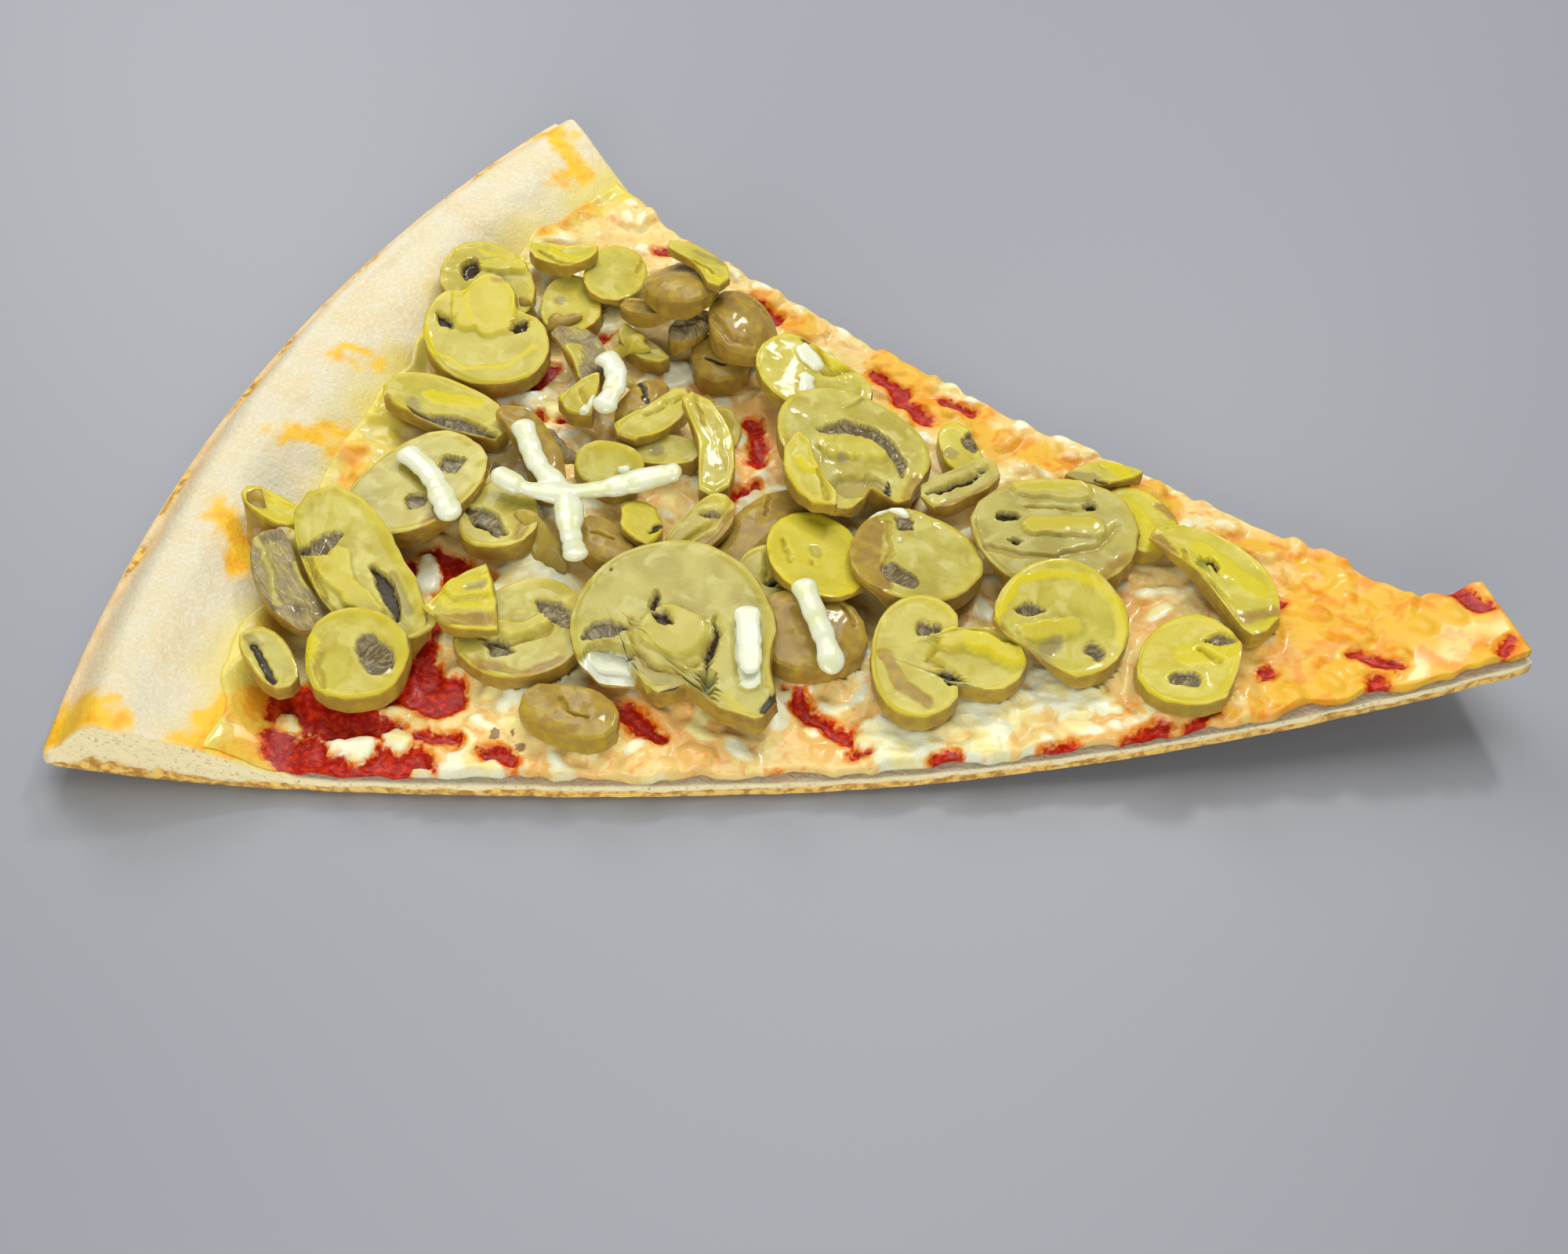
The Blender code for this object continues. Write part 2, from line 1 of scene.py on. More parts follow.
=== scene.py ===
"""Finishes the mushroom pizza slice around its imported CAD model.

The dough, sauce and cheese are rebuilt as fine sheets on the CAD model's own curves, and each
mushroom cut gets a fine mesh inside its CAD solid's outline, with its gills, slits and stem
pressed in. Sizes in the tables are millimetres in the slice's own frame: +X runs from the rim
to the tip, +Y to the hollow cut edge, and +Z up.
"""

import json
from math import cos, pi, radians, sin

import bmesh
import bpy
import numpy as np
from bpy.props import FloatProperty, FloatVectorProperty, IntProperty, PointerProperty
from mathutils import Matrix, Vector
from mathutils.bvhtree import BVHTree

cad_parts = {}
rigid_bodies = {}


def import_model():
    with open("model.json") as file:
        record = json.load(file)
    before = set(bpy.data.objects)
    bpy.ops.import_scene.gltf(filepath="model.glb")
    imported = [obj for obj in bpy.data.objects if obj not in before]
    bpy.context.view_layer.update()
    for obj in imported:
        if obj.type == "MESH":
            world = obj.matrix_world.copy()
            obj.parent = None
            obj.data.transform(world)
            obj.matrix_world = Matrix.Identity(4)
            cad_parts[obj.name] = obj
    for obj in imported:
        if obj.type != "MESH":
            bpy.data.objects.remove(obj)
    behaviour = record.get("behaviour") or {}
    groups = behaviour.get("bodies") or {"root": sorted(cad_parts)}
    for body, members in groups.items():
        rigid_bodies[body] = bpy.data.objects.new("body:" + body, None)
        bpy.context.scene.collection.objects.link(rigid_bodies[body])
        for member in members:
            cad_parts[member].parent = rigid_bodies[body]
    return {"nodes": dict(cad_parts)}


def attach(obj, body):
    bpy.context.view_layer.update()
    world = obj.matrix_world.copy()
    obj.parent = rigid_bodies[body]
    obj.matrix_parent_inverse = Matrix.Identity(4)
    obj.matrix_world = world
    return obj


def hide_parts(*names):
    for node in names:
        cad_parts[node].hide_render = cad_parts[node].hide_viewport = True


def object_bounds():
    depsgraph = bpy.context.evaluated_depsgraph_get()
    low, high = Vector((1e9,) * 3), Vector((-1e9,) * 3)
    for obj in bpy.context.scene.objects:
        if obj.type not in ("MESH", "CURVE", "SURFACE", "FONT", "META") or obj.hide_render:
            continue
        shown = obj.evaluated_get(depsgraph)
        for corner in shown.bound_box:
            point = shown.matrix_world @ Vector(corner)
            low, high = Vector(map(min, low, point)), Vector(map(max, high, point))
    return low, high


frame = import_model()
CAD_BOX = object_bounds()
NODES = frame["nodes"]

bl_info = {
    "name": "Mushroom Pizza Slice",
    "version": (1, 0, 0),
    "blender": (4, 5, 0),
    "location": "View3D > Sidebar > Pizza",
    "description": "Finishes a mushroom pizza slice around its CAD model",
    "category": "Object",
}

MM = 0.001
UP = Vector((0, 0, 1))
DOWN = -UP

# Curves of the slice, as in the part's source
GAP = 0.4
FRONT_CORNER = np.array((-117.0, -93.5))
BACK_CORNER = np.array((-99.5, 107.0))
FRONT_TIP = np.array((130.0, 1.5))
BACK_TIP = np.array((119.0, 20.0))
TEAR_NOTCH = np.array((108.0, 13.5))
TEAR_AT = 0.93
RIM_ARC_DEPTH = 17.0
FRONT_BULGE = 10.4
BACK_HOLLOW = 8.3
BACK_HOLLOW_PEAK = 0.29
SLICE_LENGTH = 250.0
BASE_THICKNESS = 3.2
RIM_EDGE_HEIGHT = 5.0
RIM_HEIGHT = 12.4
RIM_CREST = (11.0, 15.0)
RIM_WIDTH = 46.0
RIM_CORNER_FULLNESS = 0.9
RIM_MIDDLE_FULLNESS = 1.18
RIM_PUFF = 0.8
RIM_PUFFS = 1.75
HEEL_RISE = 2.5
HEEL_WIDTH = 30.0
TIP_RISE = 14.0
TIP_CURL = (10.0, 128.0)
TIP_CURL_POWER = 1.6
TOPPING_START = 26.0
SAUCE_THICKNESS = 1.0


def smooth(value):
    value = np.clip(value, 0.0, 1.0)
    return value * value * (3 - 2 * value)


def between(a, b, share):
    return a + (b - a) * share


def length_of(vectors):
    return np.sqrt((vectors * vectors).sum(axis=-1, keepdims=True))


def front_edge(share):
    along = FRONT_TIP - FRONT_CORNER
    outward = np.array((along[1], -along[0])) / np.hypot(*along)
    return FRONT_CORNER + along * share + outward * 4 * share * (1 - share) * FRONT_BULGE


def back_edge(share):
    near = share / TEAR_AT
    power = 1 / BACK_HOLLOW_PEAK - 1
    peak = BACK_HOLLOW_PEAK * (1 - BACK_HOLLOW_PEAK) ** power
    hollow = BACK_HOLLOW * near * np.maximum(0.0, 1 - near) ** power / peak
    along = TEAR_NOTCH - BACK_CORNER
    inward = np.array((along[1], -along[0])) / np.hypot(*along)
    torn = TEAR_NOTCH + (BACK_TIP - TEAR_NOTCH) * (share - TEAR_AT) / (1 - TEAR_AT)
    return np.where(share > TEAR_AT, torn, BACK_CORNER + along * near + inward * hollow)


def plan_points(share, side):
    """Plan positions on the slice: share runs 0 to 1 rim to tip, side 0 to 1 front to back."""
    share = np.asarray(share)[..., None]
    side = np.asarray(side)[..., None]
    front = front_edge(share)
    back = back_edge(share)
    across = (back - front) / length_of(back - front)
    outward = np.concatenate([-across[..., 1:], across[..., :1]], axis=-1)
    arc = 4 * side * (1 - side) * RIM_ARC_DEPTH * (1 - share)
    return front + (back - front) * side + outward * arc


def underside(x, from_rim):
    heel = np.maximum(0.0, 1 - from_rim / HEEL_WIDTH)
    start, end = TIP_CURL
    tip = np.maximum(0.0, x - start) / (end - start)
    return HEEL_RISE * heel**1.5 + TIP_RISE * tip**TIP_CURL_POWER


def dough_height(from_rim, side):
    crest_start, crest_end = RIM_CREST
    fullness = between(RIM_CORNER_FULLNESS, RIM_MIDDLE_FULLNESS, np.sin(pi * side))
    falling = smooth((from_rim - crest_end) / (RIM_WIDTH - crest_end))
    swell = smooth(from_rim / crest_start) * (1 - falling)
    puff = RIM_PUFF * np.sin(2 * pi * RIM_PUFFS * side + 1.0) * swell
    base = between(RIM_EDGE_HEIGHT, BASE_THICKNESS, smooth(from_rim / RIM_WIDTH))
    return base + (RIM_HEIGHT - BASE_THICKNESS) * fullness * swell + puff


def lumps(x, y, size, seed):
    """Soft random relief over the plan, from -1 to 1, with lumps of about this size."""
    table = np.random.RandomState(seed).uniform(-1, 1, (256, 256))
    u = np.asarray(x) / size + 1000.0
    v = np.asarray(y) / size + 1000.0
    i = np.floor(u).astype(int)
    j = np.floor(v).astype(int)
    s = smooth(u - i)
    t = smooth(v - j)
    i0, i1, j0, j1 = i % 256, (i + 1) % 256, j % 256, (j + 1) % 256
    low = between(table[i0, j0], table[i1, j0], s)
    high = between(table[i0, j1], table[i1, j1], s)
    return between(low, high, t)


def ripple(along, size, seed):
    """Soft random relief along a line."""
    return lumps(along, 0 * along, size, seed)


def evened(heights, times):
    """Heights along a line, each made the mean of the nine around it."""
    for _ in range(times):
        heights = np.convolve(np.pad(heights, 4, "edge"), np.ones(9) / 9, "valid")
    return heights


def to_line(x, y, points):
    """Distance from each place to a line through the points, and how far along it that is."""
    nearest = np.full(np.shape(x), 1e9)
    along = np.zeros(np.shape(x))
    walked = 0.0
    points = [np.array(p, float) for p in points]
    if len(points) == 1:
        points.append(points[0] + (0.01, 0.0))
    for a, b in zip(points, points[1:]):
        step = b - a
        size = np.hypot(*step)
        share = np.clip(((x - a[0]) * step[0] + (y - a[1]) * step[1]) / size**2, 0, 1)
        distance = np.hypot(x - a[0] - step[0] * share, y - a[1] - step[1] * share)
        closer = distance < nearest
        nearest = np.where(closer, distance, nearest)
        along = np.where(closer, walked + share * size, along)
        walked += size
    return nearest, along


class Canvas:
    """A plan of the slice on which spots and strokes are painted and read back anywhere."""

    STEP = 0.5
    LEFT, FRONT, RIGHT, BACK = -132.0, -99.0, 134.0, 112.0

    def __init__(self):
        across = np.arange(self.LEFT, self.RIGHT, self.STEP)
        deep = np.arange(self.FRONT, self.BACK, self.STEP)
        self.x, self.y = np.meshgrid(across, deep, indexing="ij")
        self.value = np.zeros(self.x.shape)

    def window(self, low, high):
        """The part of the plan between two corners."""
        first = ((low - (self.LEFT, self.FRONT)) / self.STEP).astype(int)
        last = ((high - (self.LEFT, self.FRONT)) / self.STEP).astype(int) + 2
        return tuple(slice(max(0, a), max(0, b)) for a, b in zip(first, last))

    def oval(self, x, y, length, width, turn):
        """The window around an oval, and the squared share of the way from its middle."""
        reach = max(length, width) * 0.6
        at = self.window(np.array((x - reach, y - reach)), np.array((x + reach, y + reach)))
        dx = self.x[at] - x
        dy = self.y[at] - y
        c, s = cos(radians(turn)), sin(radians(turn))
        along = (dx * c + dy * s) / (length / 2)
        across = (dy * c - dx * s) / (width / 2)
        return at, along**2 + across**2

    def spot(self, x, y, length, width, turn=0.0, strength=1.0, edge=0.35):
        """A flat oval with a soft edge; the larger of old and new paint stays."""
        at, r = self.oval(x, y, length, width, turn)
        paint = strength * smooth((1 - np.sqrt(r)) / edge)
        self.value[at] = np.maximum(self.value[at], paint)

    def dome(self, x, y, length, width, turn, height):
        """A rounded lump that meets its neighbours in a crease."""
        at, r = self.oval(x, y, length, width, turn)
        self.value[at] = np.maximum(self.value[at], height * np.maximum(0, 1 - r) ** 0.6)

    def stroke(self, points, width, edge):
        """A line with a soft edge through the points."""
        margin = width / 2 + edge
        low = np.min(points, axis=0) - margin
        high = np.max(points, axis=0) + margin
        at = self.window(low, high)
        distance, _ = to_line(self.x[at], self.y[at], points)
        paint = smooth((width / 2 - distance) / edge + 0.5)
        self.value[at] = np.maximum(self.value[at], paint)

    def soften(self, times):
        for _ in range(times):
            for axis in (0, 1):
                before = np.roll(self.value, 1, axis)
                after = np.roll(self.value, -1, axis)
                self.value = (before + 2 * self.value + after) / 4

    def read(self, x, y):
        u = np.clip((x - self.LEFT) / self.STEP, 0, self.x.shape[0] - 1.001)
        v = np.clip((y - self.FRONT) / self.STEP, 0, self.x.shape[1] - 1.001)
        i = u.astype(int)
        j = v.astype(int)
        low = between(self.value[i, j], self.value[i + 1, j], u - i)
        high = between(self.value[i, j + 1], self.value[i + 1, j + 1], u - i)
        return between(low, high, v - j)


def stroke_from(words):
    """A stroke's width and points, from its width and the x and y of each point."""
    width, *places = [float(word) for word in words]
    return width, list(zip(places[::2], places[1::2]))


def strokes(text):
    """The strokes in a text that has them one after the other, with semicolons between."""
    return [stroke_from(part.split()) for part in text.split(";")]


def painted(rows, edge):
    """A canvas with these strokes."""
    canvas = Canvas()
    for width, points in rows:
        canvas.stroke(points, width, edge)
    return canvas


def warped(canvas, x, y, much):
    """Reads a canvas with its shapes pushed about, so that none looks drawn."""
    moved_x = x + much * lumps(x, y, 3.2, 31) + 0.4 * much * lumps(x, y, 1.3, 32)
    moved_y = y + much * lumps(x, y, 3.2, 33) + 0.4 * much * lumps(x, y, 1.3, 34)
    return canvas.read(moved_x, moved_y)


# Meshes


def new_piece(name, points, faces):
    """A mesh object from points in millimetres, inside the CAD box, with faces turned outwards."""
    lowest, highest = (np.array(corner) / MM for corner in CAD_BOX)
    points = np.clip(points, lowest + 0.02, highest - 0.02)
    mesh = bpy.data.meshes.new(name)
    mesh.from_pydata((np.asarray(points) * MM).tolist(), [], faces)
    shaped = bmesh.new()
    shaped.from_mesh(mesh)
    bmesh.ops.recalc_face_normals(shaped, faces=shaped.faces)
    shaped.to_mesh(mesh)
    shaped.free()
    mesh.shade_smooth()
    piece = bpy.data.objects.new(name, mesh)
    bpy.context.collection.objects.link(piece)
    return piece


def paint(piece, name, channels):
    """Stores up to four values for each vertex, which the piece's material reads."""
    count = len(piece.data.vertices)
    values = np.zeros((count, 4), np.float32)
    for k, channel in enumerate(channels):
        values[:, k] = channel
    layer = piece.data.attributes.new(name, "FLOAT_COLOR", "POINT")
    layer.data.foreach_set("color", values.ravel())


def places_of(piece):
    """x, y and z of all the piece's points, in millimetres."""
    return (np.array([v.co for v in piece.data.vertices]) / MM).T


def finish_piece(piece, material, slot, *nodes):
    piece.data.materials.append(material)
    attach(piece, "root")
    if nodes:
        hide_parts(*nodes)
    return piece


def border_of(rows, columns):
    """Rows and columns of the places around a grid."""
    loop = [(0, c) for c in range(columns)]
    loop += [(r, columns - 1) for r in range(1, rows)]
    loop += [(rows - 1, c) for c in range(columns - 2, -1, -1)]
    loop += [(r, 0) for r in range(rows - 2, 0, -1)]
    return loop


def coarse_faces(some_rows, some_columns):
    """Corners of a coarse grid's faces; those at its border keep the fine grid's places there."""
    last_row, last_column = some_rows[-1], some_columns[-1]
    for r0, r1 in zip(some_rows, some_rows[1:]):
        for c0, c1 in zip(some_columns, some_columns[1:]):
            corners = [(r0, c) for c in range(c0, c1)] if r0 == 0 else [(r0, c0)]
            corners += [(r, c1) for r in range(r0, r1)] if c1 == last_column else [(r0, c1)]
            corners += [(r1, c) for c in range(c1, c0, -1)] if r1 == last_row else [(r1, c1)]
            corners += [(r, c0) for r in range(r1, r0, -1)] if c0 == 0 else [(r1, c0)]
            yield corners


def sheet_piece(name, plan, from_rim, top, bottom, wall_bulge, steps=7, coarse=5):
    """A closed sheet with a fine top, stepped walls and a coarse underside.

    wall_bulge gives, from the share of the way down, the place and the distance from the rim,
    how far each step of the wall stands out. Returns the piece, each vertex's share of the way
    down its wall, which is -1 on the top and 2 on the underside, and its distance from the rim.
    """
    rows, columns = top.shape
    loop = border_of(rows, columns)
    at = tuple(np.array(loop).T)
    inner = (np.clip(at[0], 1, rows - 2), np.clip(at[1], 1, columns - 2))
    edge = plan[at]
    outward = edge - plan[inner]
    outward /= length_of(outward)
    points = [np.dstack([plan, top]).reshape(-1, 3)]
    shares = [np.full(rows * columns, -1.0)]
    shares[0][np.ravel_multi_index(at, (rows, columns))] = 0.0
    distances = [from_rim.ravel()]
    for k in range(1, steps + 1):
        share = k / steps
        height = between(top[at], bottom[at], share)
        bulge = wall_bulge(share, edge[:, 0], edge[:, 1], height, from_rim[at])
        points.append(np.column_stack([edge + outward * bulge[:, None], height]))
        shares.append(np.full(len(loop), share))
        distances.append(from_rim[at])
    some_rows = [*range(0, rows - 1, coarse), rows - 1]
    some_columns = [*range(0, columns - 1, coarse), columns - 1]
    faces = []
    for r in range(rows - 1):
        for c in range(columns - 1):
            low = r * columns + c
            faces.append((low, low + 1, low + columns + 1, low + columns))
    ring = [r * columns + c for r, c in loop]
    base = rows * columns
    count = len(loop)
    for k in range(steps):
        below = [base + k * count + i for i in range(count)]
        for i in range(count):
            j = (i + 1) % count
            faces.append((ring[i], ring[j], below[j], below[i]))
        ring = below
    index = {place: ring[i] for i, place in enumerate(loop)}
    base += steps * count
    extra = []
    for r in some_rows[1:-1]:
        for c in some_columns[1:-1]:
            index[r, c] = base + len(extra)
            extra.append((*plan[r, c], bottom[r, c], from_rim[r, c]))
    extra = np.array(extra)
    points.append(extra[:, :3])
    shares.append(np.full(len(extra), 2.0))
    distances.append(extra[:, 3])
    for corners in coarse_faces(some_rows, some_columns):
        faces.append([index[place] for place in corners])
    piece = new_piece(name, np.concatenate(points), faces)
    return piece, np.concatenate(shares), np.concatenate(distances)


def slice_grid(steps, columns, start, end, cut_inset):
    """Plan points, distances from the rim, sides and distances from the cut edges of a grid.

    start and end are the distances from the rim of its first and last row, and cut_inset gives
    from the distance and an edge's number how far the grid stays inside that cut edge.
    """
    side = np.linspace(0, 1, columns)[None, :]
    from_rim = start + np.asarray(steps)[:, None] * (end - start) + 0 * side
    share = from_rim / SLICE_LENGTH
    across = back_edge(share[..., None]) - front_edge(share[..., None])
    width = length_of(across)[..., 0]
    front = cut_inset(from_rim, 0)
    back = cut_inset(from_rim, 1)
    side = between(front / width, 1 - back / width, side)
    from_cut = np.minimum(side * width, (1 - side) * width)
    from_cut = np.minimum(from_cut, SLICE_LENGTH - from_rim)
    return plan_points(share, side), from_rim, side, from_cut


def dough_top(plan, from_rim, side):
    return underside(plan[..., 0], from_rim) + dough_height(from_rim, side)


def dough_surface(plan, from_rim, side):
    """The baked dough's top: its smooth curve with the rim's valley, folds and bubbles."""
    x, y = plan[..., 0], plan[..., 1]
    on_rim = smooth((44 - from_rim) / 14) * smooth(from_rim / 4)
    relief = 0.5 * lumps(x, y, 9.0, 1) + 0.25 * lumps(x, y, 4.0, 2) + 0.1 * lumps(x, y, 1.6, 3)
    relief -= 1.9 * painted(RIM_VALLEYS, 8.0).read(x, y)
    relief += 0.8 * painted(RIM_FOLDS, 6.0).read(x, y)
    return dough_top(plan, from_rim, side) + np.minimum(relief - 0.25, 0.9) * on_rim


# Materials


class Wiring:
    """Short ways to add shader nodes to one tree."""

    def __init__(self, tree):
        self.tree = tree

    def put(self, socket, value):
        if isinstance(value, bpy.types.NodeSocket):
            self.tree.links.new(value, socket)
        else:
            socket.default_value = value

    def feed(self, made, inputs):
        for name, value in inputs.items():
            self.put(made.inputs[name.replace("_", " ")], value)
        return made

    def node(self, kind, **inputs):
        return self.feed(self.tree.nodes.new(kind), inputs)

    def shade(self, **inputs):
        """Sets or connects inputs of the material's own shader."""
        self.feed(self.tree.nodes["Principled BSDF"], inputs)

    def marks(self, name):
        """The four channels of a painted attribute."""
        attribute = self.node("ShaderNodeAttribute")
        attribute.attribute_name = name
        split = self.node("ShaderNodeSeparateColor", Color=attribute.outputs["Color"])
        return [*split.outputs, attribute.outputs["Alpha"]]

    def noise(self, size, detail, distortion=0.0):
        """Noise on the piece's own place, with grains of about this size in millimetres."""
        place = self.node("ShaderNodeTexCoord").outputs["Object"]
        scale = 1 / (size * MM)
        made = self.node(
            "ShaderNodeTexNoise", Vector=place, Scale=scale, Detail=detail, Distortion=distortion
        )
        return made.outputs["Fac"]

    def ramp(self, value, low, high):
        """The value stretched so that low becomes 0 and high becomes 1."""
        made = self.node("ShaderNodeMapRange", Value=value, From_Min=low, From_Max=high)
        made.interpolation_type = "SMOOTHSTEP"
        return made.outputs["Result"]

    def patches(self, size, detail, low, high, distortion=0.0):
        """Noise cut into patches of 0 and 1, softly between low and high."""
        return self.ramp(self.noise(size, detail, distortion), low, high)

    def math(self, operation, a, b):
        made = self.node("ShaderNodeMath")
        made.operation = operation
        self.put(made.inputs[0], a)
        self.put(made.inputs[1], b)
        return made.outputs[0]

    def times(self, a, b):
        return self.math("MULTIPLY", a, b)

    def plus(self, a, b):
        return self.math("ADD", a, b)

    def minus(self, a, b):
        return self.math("SUBTRACT", a, b)

    def wander(self, size, detail):
        """Noise from about -0.5 to 0.5."""
        return self.minus(self.noise(size, detail), 0.5)

    def mix(self, share, a, b):
        """Colour a, or b where the share is 1."""
        made = self.node("ShaderNodeMix")
        made.data_type = "RGBA"
        self.put(made.inputs[0], share)
        for k, colour in ((6, a), (7, b)):
            is_wire = isinstance(colour, bpy.types.NodeSocket)
            self.put(made.inputs[k], colour if is_wire else (*colour, 1.0))
        return made.outputs[2]

    def bump(self, height, strength, depth):
        made = self.node("ShaderNodeBump", Height=height, Strength=strength, Distance=depth * MM)
        return made.outputs["Normal"]

    def uneven(self, mark, size, amount):
        """Places the shared uneven-edge group on a mark."""
        made = self.tree.nodes.new("ShaderNodeGroup")
        made.node_tree = bpy.data.node_groups.get("Uneven edge") or uneven_edge_group()
        return self.feed(made, {"Mark": mark, "Size": size, "Amount": amount}).outputs["Mask"]


def uneven_edge_group():
    """Breaks up a painted mark's soft edge with noise, so that it ends unevenly."""
    made = bpy.data.node_groups.new("Uneven edge", "ShaderNodeTree")
    for name in ("Mark", "Size", "Amount"):
        made.interface.new_socket(name, in_out="INPUT", socket_type="NodeSocketFloat")
    made.interface.new_socket("Mask", in_out="OUTPUT", socket_type="NodeSocketFloat")
    wires = Wiring(made)
    mark, size, amount, _ = wires.node("NodeGroupInput").outputs
    place = wires.node("ShaderNodeTexCoord").outputs["Object"]
    scale = wires.math("DIVIDE", 1 / MM, size)
    grain = wires.node("ShaderNodeTexNoise", Vector=place, Scale=scale, Detail=4.0)
    shift = wires.times(wires.minus(grain.outputs["Fac"], 0.5), amount)
    mask = wires.ramp(wires.plus(mark, shift), 0.32, 0.68)
    # Nothing appears where there is no mark at all
    present = wires.ramp(mark, 0.02, 0.2)
    wires.node("NodeGroupOutput", Mask=wires.times(mask, present))
    return made


def new_material(name, **constants):
    """A material with these constants on its shader, and the wiring of its nodes."""
    made = bpy.data.materials.new(name)
    made.use_nodes = True
    wires = Wiring(made.node_tree)
    wires.shade(**constants)
    return made, wires


def food_material(name, roughness, specular, glow, radius, depth):
    """A material that lets some light in, as food does; the radius is for red, green and blue."""
    return new_material(
        name,
        Roughness=roughness,
        Specular_IOR_Level=specular,
        Subsurface_Weight=glow,
        Subsurface_Radius=radius,
        Subsurface_Scale=depth,
    )


def dough_material(settings):
    """Marks: golden crust, orange stain, torn crumb, yellow film."""
    made, wires = food_material("Baked dough", 0.8, 0.3, 0.1, (1.0, 0.6, 0.35), 0.002)
    golden, stain, crumb, film = wires.marks("bake")
    cream = wires.mix(
        wires.patches(8.0, 4.0, 0.36, 0.68), settings.dough_pale, settings.dough_cream
    )
    dusted = wires.times(wires.patches(0.8, 5.0, 0.46, 0.62), 0.5)
    cream = wires.mix(dusted, cream, settings.flour_white)
    cream = wires.mix(film, cream, settings.film_yellow)
    toasted = wires.mix(
        wires.patches(5.0, 4.0, 0.35, 0.65), settings.crust_tan, settings.crust_gold
    )
    powder = wires.times(wires.patches(0.6, 5.0, 0.35, 0.7), 0.35)
    toasted = wires.mix(powder, toasted, settings.dough_pale)
    colour = wires.mix(wires.times(wires.ramp(golden, 0.05, 0.6), 0.85), cream, toasted)
    line = wires.mix(
        wires.patches(1.8, 4.0, 0.4, 0.62), settings.line_gold, settings.crust_brown
    )
    colour = wires.mix(wires.ramp(golden, 0.72, 0.9), colour, line)
    blotched = wires.times(stain, wires.plus(1.0, wires.times(wires.wander(4.0, 5.0), 0.9)))
    soaked = wires.ramp(blotched, 0.12, 0.95)
    deep = wires.times(soaked, wires.patches(3.0, 4.0, 0.4, 0.7))
    colour = wires.mix(
        soaked, colour, wires.mix(deep, settings.stain_yellow, settings.stain_orange)
    )
    holes = wires.patches(0.9, 4.0, 0.28, 0.45)
    torn = wires.mix(holes, settings.crumb_shadow, settings.crumb_white)
    oily = wires.times(wires.math("MAXIMUM", stain, film), 0.35)
    relief = wires.plus(wires.noise(0.7, 5.0), wires.noise(2.4, 3.0))
    wires.shade(
        Base_Color=wires.mix(crumb, colour, torn),
        Roughness=wires.minus(0.85, oily),
        Normal=wires.bump(relief, 0.6, 0.4),
    )
    return made


def cheese_material(settings):
    """Marks: white lumps, red sauce, golden baking, brown spots, and the film near the rim."""
    made, wires = food_material("Melted cheese", 0.3, 0.2, 0.2, (1.0, 0.6, 0.3), 0.002)
    curd, red, golden, brown = wires.marks("melt")
    film, pink = wires.marks("tone")[:2]
    oily = wires.times(wires.patches(3.6, 4.0, 0.36, 0.64, 0.4), 0.5)
    oily = wires.math("MAXIMUM", oily, wires.times(pink, 0.8))
    between_lumps = wires.mix(oily, settings.cheese_cream, settings.cheese_pink)
    baked_more = wires.plus(0.5, wires.times(golden, 0.5))
    streaks = wires.times(wires.patches(2.6, 5.0, 0.55, 0.7, 1.0), baked_more)
    between_lumps = wires.mix(streaks, between_lumps, settings.oil_orange)
    milky = wires.patches(6.0, 3.0, 0.4, 0.66)
    lump = wires.mix(milky, settings.curd_white, settings.curd_yellow)
    curdled = wires.ramp(wires.plus(curd, wires.times(wires.wander(1.6, 4.0), 0.6)), 0.1, 0.75)
    colour = wires.mix(curdled, between_lumps, lump)
    deep = wires.patches(5.0, 4.0, 0.46, 0.6, 0.5)
    baked = wires.mix(deep, settings.cheese_gold, settings.cheese_orange)
    toasted = wires.ramp(wires.plus(golden, wires.wander(4.0, 5.0)), 0.1, 0.75)
    toasted = wires.times(toasted, wires.ramp(golden, 0.02, 0.3))
    colour = wires.mix(wires.times(toasted, 0.97), colour, baked)
    fringe = wires.times(wires.ramp(red, 0.03, 0.35), wires.patches(1.5, 3.0, 0.25, 0.6))
    colour = wires.mix(fringe, colour, settings.oil_orange)
    pulp = wires.patches(1.1, 4.0, 0.42, 0.7)
    sauce = wires.mix(pulp, settings.sauce_deep, settings.sauce_bright)
    colour = wires.mix(wires.uneven(red, 1.2, 1.1), colour, sauce)
    colour = wires.mix(wires.uneven(brown, 1.0, 1.0), colour, settings.char_brown)
    dry = wires.math("MAXIMUM", red, wires.times(golden, 0.75))
    matt = wires.math("MAXIMUM", wires.patches(2.6, 3.0, 0.3, 0.7), golden)
    relief = wires.plus(wires.times(wires.noise(0.9, 4.0), 0.6), wires.noise(2.6, 3.0))
    wires.shade(
        Base_Color=wires.mix(film, colour, settings.film_yellow),
        Roughness=wires.plus(0.22, wires.times(matt, 0.25)),
        Coat_Weight=wires.times(wires.minus(1.0, dry), 0.3),
        Coat_Roughness=0.1,
        Normal=wires.bump(relief, 0.45, 0.5),
    )
    return made


def sauce_material(settings):
    made, wires = food_material("Tomato sauce", 0.3, 0.25, 0.1, (1.0, 0.3, 0.1), 0.001)
    pulp = wires.patches(1.2, 4.0, 0.38, 0.7)
    wires.shade(
        Base_Color=wires.mix(pulp, settings.sauce_deep, settings.sauce_bright),
        Normal=wires.bump(wires.noise(0.9, 4.0), 0.5, 0.4),
    )
    return made


